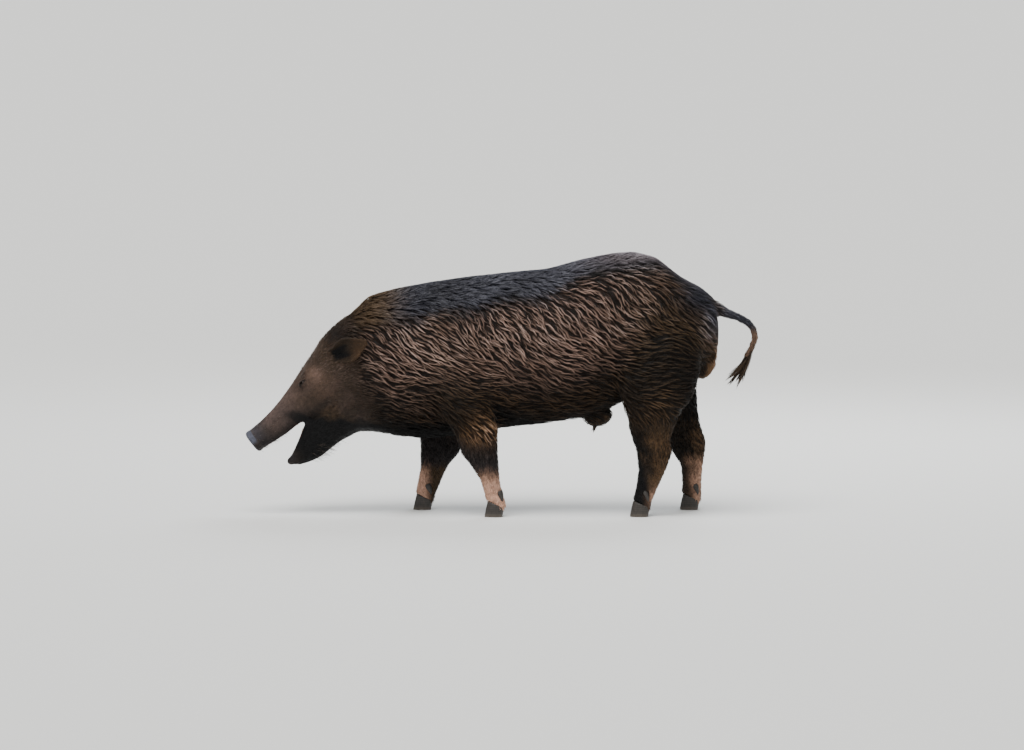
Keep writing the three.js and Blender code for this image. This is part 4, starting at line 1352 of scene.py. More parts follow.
TAIL_STRANDS, SHEATH_HAIRS = 11, 46
roots, ends, strand = fan(
    count_of_strands=TAIL_STRANDS, hairs=420, start=(TAIL_LINE[-3] * 0.9 + TAIL_LINE[-2] * 0.1, TAIL_LINE[-1]),
    end=np.array([0, 0.610, 0.342]), start_radius=0.0062,
    end_spread=np.array([0.014, 0.026, 0.020]), seed=31,
)
bow = np.random.default_rng(32).normal(size=(TAIL_STRANDS, 3))[strand] * [0.002, 0.003, 0.002]
bow += [0, 0.004, 0]
tail_hair = new_object("tail_tuft_hair", hanging_hair("tail_tuft_hair", roots, ends, bow, 0.0013, 33))

sheath_end = np.array([0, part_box("sheath")[0][1] + 0.030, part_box("sheath")[0][2] + 0.008])
roots, ends, strand = fan(
    count_of_strands=4, hairs=SHEATH_HAIRS, start=(sheath_end, sheath_end + [0, 0.012, 0.001]),
    end=sheath_end + [0, -0.004, -0.024], start_radius=0.004,
    end_spread=np.array([0.004, 0.006, 0.004]), seed=34,
)
bow = np.zeros((SHEATH_HAIRS, 3)) + [0, 0.002, 0]
sheath_hair = new_object("sheath_hair", hanging_hair("sheath_hair", roots, ends, bow, 0.0012, 35))
coat_pieces += [tail_hair, sheath_hair]
print("tail tuft:", triangles_in(tail_hair.data), "triangles")

# %% [markdown]
# ## Eyes
# A boar's eye is small, dark and wet. The eyeball is a sphere with a slight bulge in front for
# the cornea. How far a point lies from the line of sight is stored, so that pupil, iris and
# white can be painted by it.

# %% Eyeballs
PUPIL, IRIS = 0.24, 0.62         # radians from the line of sight
CORNEA_BULGE = 0.55 * MM


def eyeball(side):
    outward = eye_directions(side)[0]
    work = bmesh.new()
    bmesh.ops.create_uvsphere(work, u_segments=48, v_segments=32, radius=EYE_RADIUS)
    turn = Vector(outward).to_track_quat("Z", "Y").to_matrix()
    bmesh.ops.rotate(work, verts=work.verts, matrix=turn)
    mesh = bpy.data.meshes.new(f"eyeball_{side}")
    work.to_mesh(mesh)
    work.free()
    local = points_of(mesh)
    away = np.arccos(np.clip(unit(local) @ outward, -1, 1))
    bulge = CORNEA_BULGE * np.exp(-(away / (IRIS * 0.9)) ** 4)
    move_points(mesh, eye[side] + unit(local) * (EYE_RADIUS + bulge)[:, None])
    keep_as_attribute(mesh, "off_sight", away)
    smooth_shaded(mesh)
    return new_object(f"eyeball_{side}", mesh)


eyeballs = {side: eyeball(side) for side in eye}
print("eyeballs:", list(eyeballs))

# %% [markdown]
# ## Hooves and dewclaws
# Horn is hard, so each claw keeps its own shape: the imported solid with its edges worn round. The
# sole stays flat on the floor. A dewclaw is a small curved horn that comes to a blunt point, so
# it is built from rings round a bent line.

# %% Hooves
HORN_VOXEL = 1.2 * MM
WEAR_ROUNDS = 9
WORN_AWAY = 0.35 * MM            # what the smoothing takes, given back along the normals
SOLE = 0.9 * MM                  # all below this height is pressed flat


def hoof(name, nodes):
    piece = solids_together(name, nodes, 0.0)
    mesh = remesh(piece, HORN_VOXEL)
    mesh = smooth(piece, np.ones(len(mesh.vertices)), WEAR_ROUNDS)
    points = points_of(mesh) + normals_of(mesh) * WORN_AWAY
    points[:, 2] = np.where(points[:, 2] < SOLE, 0.0, points[:, 2])
    move_points(mesh, points)
    smooth_shaded(mesh)
    return piece


# %% Dewclaws
DEWCLAW_WAY = np.array([0.25, 0.42, -0.85])      # outward, back, up
DEWCLAW_LENGTH = 30 * MM
DEWCLAW_RADIUS = (8.6 * MM, 6.6 * MM)            # along the leg, and across it
DEWCLAW_BEND = np.array([0, -3, 0]) * MM         # how far its tip hooks forward
DEWCLAW_RINGS, DEWCLAW_AROUND = 14, 20


def dewclaws(name, nodes):
    """Two small horns, each a stack of rings that bends towards the ground."""
    work = bmesh.new()
    for node, side in zip(nodes, (1, -1)):
        way = unit(DEWCLAW_WAY * (side, 1, 1))
        across = unit(np.cross(way, (0, 1, 0)))
        other = np.cross(across, way)
        root = middle(node) - way * DEWCLAW_LENGTH * 0.46
        rings = []
        for share in np.linspace(0, 1, DEWCLAW_RINGS, endpoint=False):
            wide = (1 - share ** 2.2) ** 0.75 * (0.90 + 0.10 * math.cos(math.pi * share))
            centre = root + way * DEWCLAW_LENGTH * share + DEWCLAW_BEND * share ** 2
            turn = np.linspace(0, 2 * math.pi, DEWCLAW_AROUND, endpoint=False)
            ring = centre + wide * (np.outer(np.cos(turn), other) * DEWCLAW_RADIUS[0]
                                    + np.outer(np.sin(turn), across) * DEWCLAW_RADIUS[1])
            rings.append([work.verts.new(place) for place in ring])
        tip = work.verts.new(root + way * DEWCLAW_LENGTH + DEWCLAW_BEND)
        for lower, upper in zip(rings, rings[1:]):
            for k in range(DEWCLAW_AROUND):
                after = (k + 1) % DEWCLAW_AROUND
                work.faces.new((lower[k], lower[after], upper[after], upper[k]))
        for k in range(DEWCLAW_AROUND):
            work.faces.new((rings[-1][k], rings[-1][(k + 1) % DEWCLAW_AROUND], tip))
        work.faces.new(rings[0][::-1])
    bmesh.ops.recalc_face_normals(work, faces=work.faces)
    mesh = bpy.data.meshes.new(name)
    work.to_mesh(mesh)
    work.free()
    smooth_shaded(mesh)
    return new_object(name, mesh)


horns = {}
for leg in LEGS:
    for kind, made in (("claw", hoof), ("dewclaw", dewclaws)):
        nodes = [f"{leg}_{kind}_{hand}" for hand in ("left", "right")]
        name = f"{leg}_{'hoof' if kind == 'claw' else 'dewclaws'}"
        horns[name] = (made(name, nodes), nodes)
        print(name, len(horns[name][0].data.polygons), "faces")

# %% [markdown]
# ## Inside the mouth
# Only a little shows between the lips: the tongue, with a groove along it, and two rows of
# low, blunt teeth, growing larger towards the back, that lean with the jaw they grow from.

# %% Tongue and teeth
TONGUE_SINKS = 4.5 * MM          # how far its upper side lies below the plain solid


def tongue_piece():
    piece = solids_together("tongue_flesh", ["tongue"], 0.0)
    mesh = remesh(piece, 1.6 * MM)
    mesh = smooth(piece, np.ones(len(mesh.vertices)), 10)
    points, normals = points_of(mesh), normals_of(mesh)
    groove = np.exp(-(points[:, 0] / (2.2 * MM)) ** 2) * np.clip(normals @ jaw_up, 0, 1)
    points -= normals * (1.6 * MM * groove)[:, None]
    top = ramp(normals @ jaw_up, -0.2, 0.6)[:, None]
    move_points(mesh, points - TONGUE_SINKS * top * jaw_up)
    smooth_shaded(mesh)
    return piece


tongue = tongue_piece()
TEETH_A_SIDE = 9
TOOTH_LENGTH = 12 * MM
TOOTH_RADII = (2.3, 3.4)         # millimetres, first and last tooth of a row
BELOW_LIP = 1.8                  # millimetres that the tips stay behind the lip


def tooth(place, direction, radius, work):
    """A blunt tooth, long along the jaw, narrow across it and wider at its root."""
    made = bmesh.ops.create_icosphere(work, subdivisions=3, radius=1.0)["verts"]
    turn = Vector(direction).to_track_quat("Z", "Y").to_matrix()
    for corner in made:
        across, along, high = corner.co
        slim = radius * (1 - 0.22 * high)
        blunt = math.copysign(abs(high) ** 0.7, high) + 0.05 * math.cos(5 * along)
        shaped = Vector((across * slim * 0.8, along * slim * 1.65, blunt * TOOTH_LENGTH / 2))
        corner.co = Vector(place) + turn @ shaped


def tooth_row(name, origin, along, up, reach, spread_aside, lip, bend, towards):
    """Teeth on both sides, from the front to the back of the jaw, with measures in millimetres."""
    work = bmesh.new()
    for side in (-1, 1):
        for share in np.linspace(0, 1, TEETH_A_SIDE):
            back = reach[0] + (reach[1] - reach[0]) * share
            aside = spread_aside[0] + (spread_aside[1] - spread_aside[0]) * share ** 0.6
            tip = lip[0] + (lip[1] - lip[0]) * share ** bend - towards * BELOW_LIP
            middle_height = tip * MM - towards * TOOTH_LENGTH / 2
            place = origin + along * back * MM + up * middle_height + np.array([side * aside * MM, 0, 0])
            tooth(place, up * towards, np.interp(share, (0, 1), TOOTH_RADII) * MM, work)
    bmesh.ops.recalc_face_normals(work, faces=work.faces)
    mesh = bpy.data.meshes.new(name)
    work.to_mesh(mesh)
    work.free()
    smooth_shaded(mesh)
    return new_object(name, mesh)


disc_middle = nose - 2 * MM * head_along
jaw_start = np.array([0, -0.561626, 0.137])
lower_teeth = tooth_row("lower_teeth", jaw_start, jaw_along, jaw_up,
                        reach=(9, 84), spread_aside=(4, 21), lip=(9, 37), bend=1.35, towards=1)
upper_teeth = tooth_row("upper_teeth", disc_middle, head_along, head_up,
                        reach=(20, 118), spread_aside=(5, 21), lip=(-32, -38), bend=1, towards=-1)
print("teeth:", len(lower_teeth.data.polygons) + len(upper_teeth.data.polygons), "triangles")

# %% [markdown]
# ## Bristles and lashes
# Stiff single hairs stand on the chin, the lips, the brows and the upper lids. They repeat, so
# Geometry Nodes set them: one bristle mesh is instanced on a cloud of points, each point
# carries its own direction and size, and the instances are realized at the end.

# %% One bristle, and the points that carry bristles
BRISTLE_WIDTH = 0.45 * MM
BRISTLE_TABLE = ((0, 1.0, 0), (0.45, 0.8, 0.03), (0.8, 0.45, 0.12))      # height, thickness, lean
SLENDER = 0.04                   # the one bristle is drawn thick and set this much thinner


def bristle_mesh():
    """A three-sided spike, one unit long, that bends a little."""
    work = bmesh.new()
    rings = []
    for height, thick, lean in BRISTLE_TABLE:
        radius = thick * BRISTLE_WIDTH / SLENDER
        turns = [2 * math.pi * k / 3 for k in range(3)]
        rings.append([work.verts.new((radius * math.cos(turn) + lean, radius * math.sin(turn), height))
                      for turn in turns])
    tip = work.verts.new((0.22, 0, 1))
    for lower, upper in zip(rings, rings[1:]):
        for k in range(3):
            work.faces.new((lower[k], lower[(k + 1) % 3], upper[(k + 1) % 3], upper[k]))
    for k in range(3):
        work.faces.new((rings[-1][k], rings[-1][(k + 1) % 3], tip))
    work.faces.new((rings[0][2], rings[0][1], rings[0][0]))
    mesh = bpy.data.meshes.new("one_bristle")
    work.to_mesh(mesh)
    work.free()
    smooth_shaded(mesh)
    return mesh


def bristle_points(spots, seed):
    """Roots, directions and lengths of bristles near the named spots of the face."""
    draw = np.random.default_rng(seed)
    back, height, aside = on_head(skin_points)
    places, ways, sizes = [], [], []
    for centre, reach, count, length, way in spots:
        away = (np.column_stack([aside, back, height]) - np.array(centre)) / np.array(reach)
        weight = np.exp(-(away ** 2).sum(axis=1)) * ~near_eyes(skin_points, 0.0125)
        chosen = draw.choice(len(skin_points), count, replace=False, p=weight / weight.sum())
        outward = skin_normals[chosen]
        lean = way[0] * head_along + way[1] * head_up + draw.normal(size=(count, 3)) * 0.15
        places.append(skin_points[chosen] - outward * 0.5 * MM)
        ways.append(unit(outward * 0.55 + lean))
        sizes.append(length * MM * draw.uniform(0.6, 1.1, count))
    return np.concatenate(places), np.concatenate(ways), np.concatenate(sizes)


# Middle (aside, back, height), reach, how many, length in millimetres, lean (back, up).
BRISTLE_SPOTS = (
    ((0.012, 0.135, -0.120), (0.020, 0.030, 0.020), 90, 24, (0.9, -0.6)),
    ((0.018, 0.040, -0.032), (0.010, 0.030, 0.010), 50, 12, (0.7, -0.5)),
    ((0.030, 0.060, 0.000), (0.010, 0.035, 0.016), 60, 13, (0.9, 0.0)),
    ((0.046, 0.218, 0.062), (0.012, 0.018, 0.008), 44, 19, (1.0, 0.3)),
    ((0.075, 0.215, -0.030), (0.015, 0.020, 0.015), 16, 26, (0.9, -0.3)),
)
bristle_root, bristle_way, bristle_size = bristle_points(BRISTLE_SPOTS, seed=41)


def lash_points(seed):
    """Lashes stand along the edge of the upper lid and sweep outward and up."""
    draw = np.random.default_rng(seed)
    places, ways, sizes = [], [], []
    for side in eye:
        outward, slit, upward = eye_directions(side)
        for share in np.linspace(-0.75, 0.9, 22):
            along = share * EYE_HALF_LENGTH
            high = UPPER_LID * (1 - share ** 2) ** 0.8 + 0.3 * MM
            reach = EYE_RADIUS + LID_THICKNESS * 0.5
            out = math.sqrt(max(reach ** 2 - along ** 2 - high ** 2, 0))
            places.append(eye[side] + along * slit + high * upward + out * outward)
            ways.append(unit(outward + 0.35 * upward + 0.7 * share * slit + draw.normal(size=3) * 0.08))
            sizes.append(draw.uniform(7, 10) * MM)
    return np.array(places), np.array(ways), np.array(sizes)


lash_root, lash_way, lash_size = lash_points(seed=42)
print("bristles:", len(bristle_root), "lashes:", len(lash_root))

# %% Set the bristles with Geometry Nodes
def bristle_tree(hair_material):
    tree = bpy.data.node_groups.new("set bristles", "GeometryNodeTree")
    tree.interface.new_socket("Points", in_out="INPUT", socket_type="NodeSocketGeometry")
    tree.interface.new_socket("Bristle", in_out="INPUT", socket_type="NodeSocketObject")
    thickness = tree.interface.new_socket("Thickness", in_out="INPUT", socket_type="NodeSocketFloat")
    thickness.default_value = 1.0
    tree.interface.new_socket("Bristles", in_out="OUTPUT", socket_type="NodeSocketGeometry")
    node = tree.nodes.new
    link = tree.links.new
    start, end = node("NodeGroupInput"), node("NodeGroupOutput")
    way, size = node("GeometryNodeInputNamedAttribute"), node("GeometryNodeInputNamedAttribute")
    way.data_type, size.data_type = "FLOAT_VECTOR", "FLOAT"
    way.inputs["Name"].default_value, size.inputs["Name"].default_value = "way", "size"
    align = node("FunctionNodeAlignRotationToVector")
    align.axis = "Z"
    link(way.outputs["Attribute"], align.inputs["Vector"])
    across = node("ShaderNodeMath")
    across.operation = "MULTIPLY"
    across.inputs[1].default_value = SLENDER
    link(start.outputs["Thickness"], across.inputs[0])
    scale = node("ShaderNodeCombineXYZ")
    link(across.outputs[0], scale.inputs["X"])
    link(across.outputs[0], scale.inputs["Y"])
    link(size.outputs["Attribute"], scale.inputs["Z"])
    info = node("GeometryNodeObjectInfo")
    link(start.outputs["Bristle"], info.inputs["Object"])
    plant = node("GeometryNodeInstanceOnPoints")
    link(start.outputs["Points"], plant.inputs["Points"])
    link(info.outputs["Geometry"], plant.inputs["Instance"])
    link(align.outputs["Rotation"], plant.inputs["Rotation"])
    link(scale.outputs["Vector"], plant.inputs["Scale"])
    real = node("GeometryNodeRealizeInstances")
    link(plant.outputs["Instances"], real.inputs["Geometry"])
    finish = node("GeometryNodeSetMaterial")
    finish.inputs["Material"].default_value = hair_material
    link(real.outputs["Geometry"], finish.inputs["Geometry"])
    link(finish.outputs["Geometry"], end.inputs["Bristles"])
    return tree


def set_bristles(name, roots, ways, sizes, thickness, hair_material):
    cloud = bpy.data.meshes.new(name)
    cloud.from_pydata(roots.tolist(), [], [])
    keep_as_attribute(cloud, "way", ways)
    keep_as_attribute(cloud, "size", sizes)
    piece = new_object(name, cloud)
    one = new_object("one_bristle", bristle_mesh())
    modifier = piece.modifiers.new("bristles", "NODES")
    modifier.node_group = bristle_tree(hair_material)
    sockets = {item.name: item.identifier for item in modifier.node_group.interface.items_tree
               if item.in_out == "INPUT"}
    modifier[sockets["Bristle"]] = one
    modifier[sockets["Thickness"]] = thickness
    mesh = with_modifiers(piece)
    bpy.data.objects.remove(one)
    each = len(mesh.vertices) // len(roots)
    chart = unwrapped(roots[:, 0], roots[:, 2], roots[:, 1], 0.0)
    level = np.tile(points_of(bristle_mesh())[:, 2], len(roots))
    patch = np.repeat(chart, each, axis=0) + PATCH * np.column_stack([np.zeros(len(level)), level - 0.5])
    loops = np.empty(len(mesh.loops), np.int32)
    mesh.loops.foreach_get("vertex_index", loops)
    uv = mesh.uv_layers.new(name="OFBake")
    uv.data.foreach_set("uv", patch[loops].astype(np.float32).ravel())
    keep_as_attribute(mesh, "along", level)
    smooth_shaded(mesh)
    return piece

# %% [markdown]
# ## Colours and finishes
# Everything is painted by rules. One shader group turns the stored masks into the boar's
# colours, and both skin and hair use it, so that they always agree. Another draws fine
# streaks, for the grain of short hair, of single hairs in a tuft, and of horn.

# %% Small helpers for shader trees
def add(tree, kind, inputs=None, **settings):
    """Adds a shader node, sets its options, and fills or links its inputs."""
    made = tree.nodes.new("ShaderNode" + kind)
    for option, value in settings.items():
        setattr(made, option, value)
    for socket, value in (inputs or {}).items():
        if isinstance(value, bpy.types.NodeSocket):
            tree.links.new(value, made.inputs[socket])
        else:
            made.inputs[socket].default_value = value
    return made


MIX_SHARE, MIX_FIRST, MIX_SECOND, MIX_COLOUR = 0, 6, 7, 2    # sockets of a colour Mix node


def mixed(tree, share, first, second, blend="MIX"):
    sockets = {MIX_SHARE: share, MIX_FIRST: first, MIX_SECOND: second}
    return add(tree, "Mix", sockets, data_type="RGBA", blend_type=blend).outputs[MIX_COLOUR]


def mapped(tree, value, low, high, new_low, new_high):
    """A value carried from one range to another; any of the five may be a number or a socket."""
    sockets = {"Value": value, "From Min": low, "From Max": high, "To Min": new_low, "To Max": new_high}
    return add(tree, "MapRange", sockets).outputs["Result"]


def stored(tree, name, output="Fac"):
    return add(tree, "Attribute", attribute_name=name).outputs[output]


def shader_group(name, inputs, outputs):
    tree = bpy.data.node_groups.new(name, "ShaderNodeTree")
    for socket, kind, value in inputs:
        made = tree.interface.new_socket(socket, in_out="INPUT", socket_type=kind)
        if value is not None:
            made.default_value = value
    for socket, kind in outputs:
        tree.interface.new_socket(socket, in_out="OUTPUT", socket_type=kind)
    return tree, tree.nodes.new("NodeGroupInput"), tree.nodes.new("NodeGroupOutput")


def new_material(name):
    material = bpy.data.materials.new(name)
    material.use_nodes = True
    return material, material.node_tree, material.node_tree.nodes["Principled BSDF"]


def place_group(tree, group, inputs=None):
    made = tree.nodes.new("ShaderNodeGroup")
    made.node_tree = group
    for socket, value in (inputs or {}).items():
        if isinstance(value, bpy.types.NodeSocket):
            tree.links.new(value, made.inputs[socket])
        else:
            made.inputs[socket].default_value = value
    return made.outputs


# %% The boar's colours as one group
DARK_BROWN = (0.050, 0.0320, 0.0175, 1)
# The russet and rosy paints are also used for a painted sheen, the slate paint for a painted bluish sky sheen,
# and the soot paint for painted shade.
MARK_COLOURS = {
    "russet": (0.128, 0.083, 0.064, 1),
    "slate": (0.026, 0.0268, 0.0355, 1),
    "ember": (0.130, 0.072, 0.034, 1),
    "rosy": (0.560, 0.340, 0.245, 1),
    "soot": (0.0036, 0.0034, 0.0038, 1),
}
MOTTLE_SCALE = 16.0

colours, _, colours_out = shader_group("boar colours", [], [("Colour", "NodeSocketColor")])
place = add(colours, "TexCoord").outputs["Object"]
mottle = add(colours, "TexNoise", {"Vector": place, "Scale": MOTTLE_SCALE, "Detail": 4.0, "Roughness": 0.6})
colour = DARK_BROWN
for name, paint in MARK_COLOURS.items():
    colour = mixed(colours, stored(colours, name), colour, paint)
warm = mixed(colours, mottle.outputs["Fac"], (0.72, 0.72, 0.76, 1), (1.30, 1.24, 1.18, 1))
colour = mixed(colours, 1.0, colour, warm, "MULTIPLY")
colours.links.new(colour, colours_out.inputs["Colour"])

# %% Fine streaks as one group
streaks, streaks_in, streaks_out = shader_group(
    "fine streaks",
    [("Vector", "NodeSocketVector", None), ("Fineness", "NodeSocketFloat", 1.0)],
    [("Streak", "NodeSocketFloat")],
)
fine = add(streaks, "TexNoise", {
    "Vector": streaks_in.outputs["Vector"], "Scale": streaks_in.outputs["Fineness"],
    "Detail": 3.0, "Roughness": 0.55,
})
streaks.links.new(mapped(streaks, fine.outputs["Fac"], 0.28, 0.72, 0.0, 1.0), streaks_out.inputs["Streak"])


# %% Hair
CREST_CONTRAST = 2.4
GLINT = (0.52, 0.43, 0.40, 1)    # painted highlight on the crests of brown hair, and of slate hair
SLATE_GLINT = (0.43, 0.445, 0.49, 1)


def hair_finish():
    """Wet, glossy hair: painted shade at the root and in the valleys, and a painted highlight on the crests.
    """
    material, tree, shader = new_material("wet hair")
    colour = place_group(tree, colours)["Colour"]
    # Painted light: the crests are painted lighter and mixed towards a painted highlight, the valleys painted
    # darker.
    crest = add(tree, "Math", {0: stored(tree, "shade"), 1: CREST_CONTRAST}, operation="POWER").outputs[0]
    colour = mixed(tree, 1.0, colour, mapped(tree, crest, 0.0, 2.5, 0.10, 8.0), "MULTIPLY")
    glint = mapped(tree, crest, 0.62, 1.35, 0.0, mapped(tree, stored(tree, "soot"), 0.0, 0.6, 0.42, 0.0))
    sky_light = mixed(tree, stored(tree, "slate"), GLINT, SLATE_GLINT)
    colour = mixed(tree, glint, colour, sky_light)
    # Painted shade at the roots, less on the sleek back.
    root_shade = mapped(tree, stored(tree, "slate"), 0.0, 1.0, 0.45, 0.80)
    rise = mapped(tree, stored(tree, "along"), 0.0, 0.9, root_shade, 1.15)
    colour = mixed(tree, 1.0, colour, rise, "MULTIPLY")
    strand = {"Vector": stored(tree, "strand", "Vector"), "Fineness": 3.2}
    streak = place_group(tree, streaks, strand)["Streak"]
    colour = mixed(tree, 1.0, colour, mapped(tree, streak, 0.0, 1.0, 0.70, 1.30), "MULTIPLY")
    tree.links.new(colour, shader.inputs["Base Color"])
    gloss = mapped(tree, stored(tree, "slate"), 0.0, 1.0, 0.44, 0.34)
    tree.links.new(gloss, shader.inputs["Roughness"])
    shader.inputs["Specular IOR Level"].default_value = 0.22
    bump = add(tree, "Bump", {"Height": streak, "Strength": 0.5, "Distance": 0.3 * MM})
    tree.links.new(bump.outputs["Normal"], shader.inputs["Normal"])
    return material


wet_hair = hair_finish()

# %% Skin: what each place is
points, normals = points_of(skin_mesh), normals_of(skin_mesh)
back, height, aside = on_head(points)
jaw_back, jaw_height = (points - jaw_start) @ jaw_along, (points - jaw_start) @ jaw_up
UPPER_LIP = ((0, 0.05, 0.12, 0.20), (0.026, 0.025, 0.032, 0.040))    # distance back, half-width
LOWER_LIP = ((0, 0.037, 0.065, 0.10), (0.011, 0.019, 0.024, 0.030))

palate = (aside < np.interp(back, *UPPER_LIP) - 6 * MM) & (normals @ head_up < -0.25)
palate &= (back > 0.018) & (back < 0.20) & (height < -0.022) & (jaw_height > 0.045)
floor_of_mouth = (aside < np.interp(jaw_back, *LOWER_LIP) - 4 * MM) & (normals @ jaw_up > 0.25)
floor_of_mouth &= (jaw_back > 0.004) & (jaw_back < 0.13) & (height < -0.045)
throat = (aside < 0.024) & (back > 0.10) & (back < 0.21) & (height < -0.030) & (height > -0.085)
mouth = spread((palate | floor_of_mouth | throat).astype(float), edges_of(skin_mesh), 2)
front = 1 - ramp(back, 4 * MM, 12 * MM)
behind_disc = 1 - ramp(back, 10 * MM, 44 * MM)
# The nostrils' hollows, painted near black: a painted shade.
hollow = (in_nostril(aside, height) < 1.1) * front
lid = np.zeros(len(points))
for side in eye:
    _, _, outside, out = about_eye(points, side)
    lid = np.maximum(lid, (1 - ramp(outside, 1.0 * MM, 4.2 * MM)) * (out > 0) * near_eyes(points, 0.02))
head_share = amount(share, "pad", "snout", "face", "jaw")[:, None]
STRETCH = 0.16                   # the grain of short hair is this much longer than wide
grain = np.column_stack([aside, back * STRETCH, height]) * head_share
grain += points * [1, 1, STRETCH] * (1 - head_share)
pad = np.maximum(front, 0.45 * behind_disc * amount(share, "pad", "snout"))
facing = ramp(-(normals @ head_along), 0.5, 0.8)
pad *= 1 - 0.75 * ramp(-height, -2 * MM, 14 * MM) * (1 - facing)
# Painted shade on the skin under the coat, less under the sleek hair of the back.
covered = ramp(share @ COAT_TABLE[:, DEPTH], 2.6, 6.0) * (1 - 0.6 * sleekness(points, share))
masks = {"pad": pad, "mouth": mouth, "hollow": hollow, "lid": lid, "grain": grain, "covered": covered}
for name, values in masks.items():
    keep_as_attribute(skin_mesh, name, values)


PAINTS = {                       # the darkest and the lightest shade of each finish
    "nose": ((0.034, 0.036, 0.047, 1), (0.115, 0.120, 0.155, 1)),
    "gum": ((0.030, 0.010, 0.010, 1), (0.11, 0.036, 0.033, 1)),
    "iris": ((0.007, 0.004, 0.003, 1), (0.034, 0.016, 0.008, 1)),
    "white of the eye": ((0.020, 0.013, 0.011, 1), (0.09, 0.055, 0.045, 1)),
    "horn": ((0.014, 0.012, 0.011, 1), (0.046, 0.037, 0.030, 1)),
    "tongue": ((0.10, 0.034, 0.032, 1), (0.22, 0.088, 0.078, 1)),
    "tooth": ((0.26, 0.19, 0.11, 1), (0.46, 0.39, 0.28, 1)),
    "bristle": ((0.010, 0.008, 0.007, 1), (0.085, 0.062, 0.048, 1)),
}
LID_EDGE_PAINT = (0.014, 0.011, 0.010, 1)
# Near black for the nostrils, a painted shade in their hollows.
NOSTRIL_SHADE_PAINT = (0.006, 0.004, 0.004, 1)
PUPIL_PAINT = (0.002, 0.002, 0.002, 1)
WORN_HORN_PAINT = (0.13, 0.105, 0.082, 1)
BRISTLE_TIP_PAINT = (0.16, 0.13, 0.11, 1)


def skin_finish():
    material, tree, shader = new_material("hide")
    place = add(tree, "TexCoord").outputs["Object"]
    grain = {"Vector": stored(tree, "grain", "Vector"), "Fineness": 1100.0}
    short_hair = place_group(tree, streaks, grain)["Streak"]
    pores = add(tree, "TexVoronoi", {"Vector": place, "Scale": 620.0}).outputs["Distance"]
    creases = add(tree, "TexNoise", {"Vector": place, "Scale": 120.0, "Detail": 5.0}).outputs["Fac"]
    colour = place_group(tree, colours)["Colour"]
    colour = mixed(tree, 1.0, colour, mapped(tree, short_hair, 0.0, 1.0, 0.62, 1.35), "MULTIPLY")
    colour = mixed(tree, 1.0, colour, mapped(tree, creases, 0.35, 0.65, 0.80, 1.15), "MULTIPLY")
    shadowed = mapped(tree, stored(tree, "covered"), 0.0, 1.0, 1.0, 0.22)
    colour = mixed(tree, 1.0, colour, shadowed, "MULTIPLY")
    pad_edge = mapped(tree, stored(tree, "pad"), 0.55, 1.0, 0.5, 1.0)
    pad_paint = mixed(tree, creases, *PAINTS["nose"])
    pad_paint = mixed(tree, 1.0, pad_paint, pad_edge, "MULTIPLY")
    colour = mixed(tree, stored(tree, "pad"), colour, pad_paint)
    colour = mixed(tree, stored(tree, "lid"), colour, LID_EDGE_PAINT)
    gum_paint = mixed(tree, creases, *PAINTS["gum"])
    colour = mixed(tree, stored(tree, "mouth"), colour, gum_paint)
    colour = mixed(tree, stored(tree, "hollow"), colour, NOSTRIL_SHADE_PAINT)
    tree.links.new(colour, shader.inputs["Base Color"])
    wet = mapped(tree, stored(tree, "mouth"), 0.0, 1.0, 0.50, 0.22)
    tree.links.new(wet, shader.inputs["Roughness"])
    shader.inputs["Specular IOR Level"].default_value = 0.12
    relief = add(tree, "Math", {0: short_hair, 1: pores}, operation="ADD").outputs[0]
    relief = add(tree, "Math", {0: relief, 1: creases}, operation="ADD").outputs[0]
    bump = add(tree, "Bump", {"Height": relief, "Strength": 0.75, "Distance": 0.7 * MM})
    tree.links.new(bump.outputs["Normal"], shader.inputs["Normal"])
    return material


hide = skin_finish()

# %% Eye, horn, tongue and tooth
def eye_finish():
    material, tree, shader = new_material("wet eye")
    away = stored(tree, "off_sight")
    rays = add(tree, "TexNoise", {"Vector": add(tree, "TexCoord").outputs["Object"], "Scale": 900.0})
    iris = mixed(tree, rays.outputs["Fac"], *PAINTS["iris"])
    colour = mixed(tree, mapped(tree, away, PUPIL - 0.03, PUPIL + 0.03, 0, 1), PUPIL_PAINT, iris)
    white = mixed(tree, mapped(tree, away, 0.8, 1.1, 0, 1), *PAINTS["white of the eye"])
    colour = mixed(tree, mapped(tree, away, IRIS - 0.03, IRIS + 0.05, 0, 1), colour, white)
    tree.links.new(colour, shader.inputs["Base Color"])
    bump = add(tree, "Bump", {"Height": rays.outputs["Fac"], "Strength": 0.05, "Distance": 0.05 * MM})
    tree.links.new(bump.outputs["Normal"], shader.inputs["Normal"])
    shader.inputs["Roughness"].default_value = 0.07
    shader.inputs["Specular IOR Level"].default_value = 0.10
    return material


RING_SCALE = 62.0                # growth rings of horn, about 5 mm apart


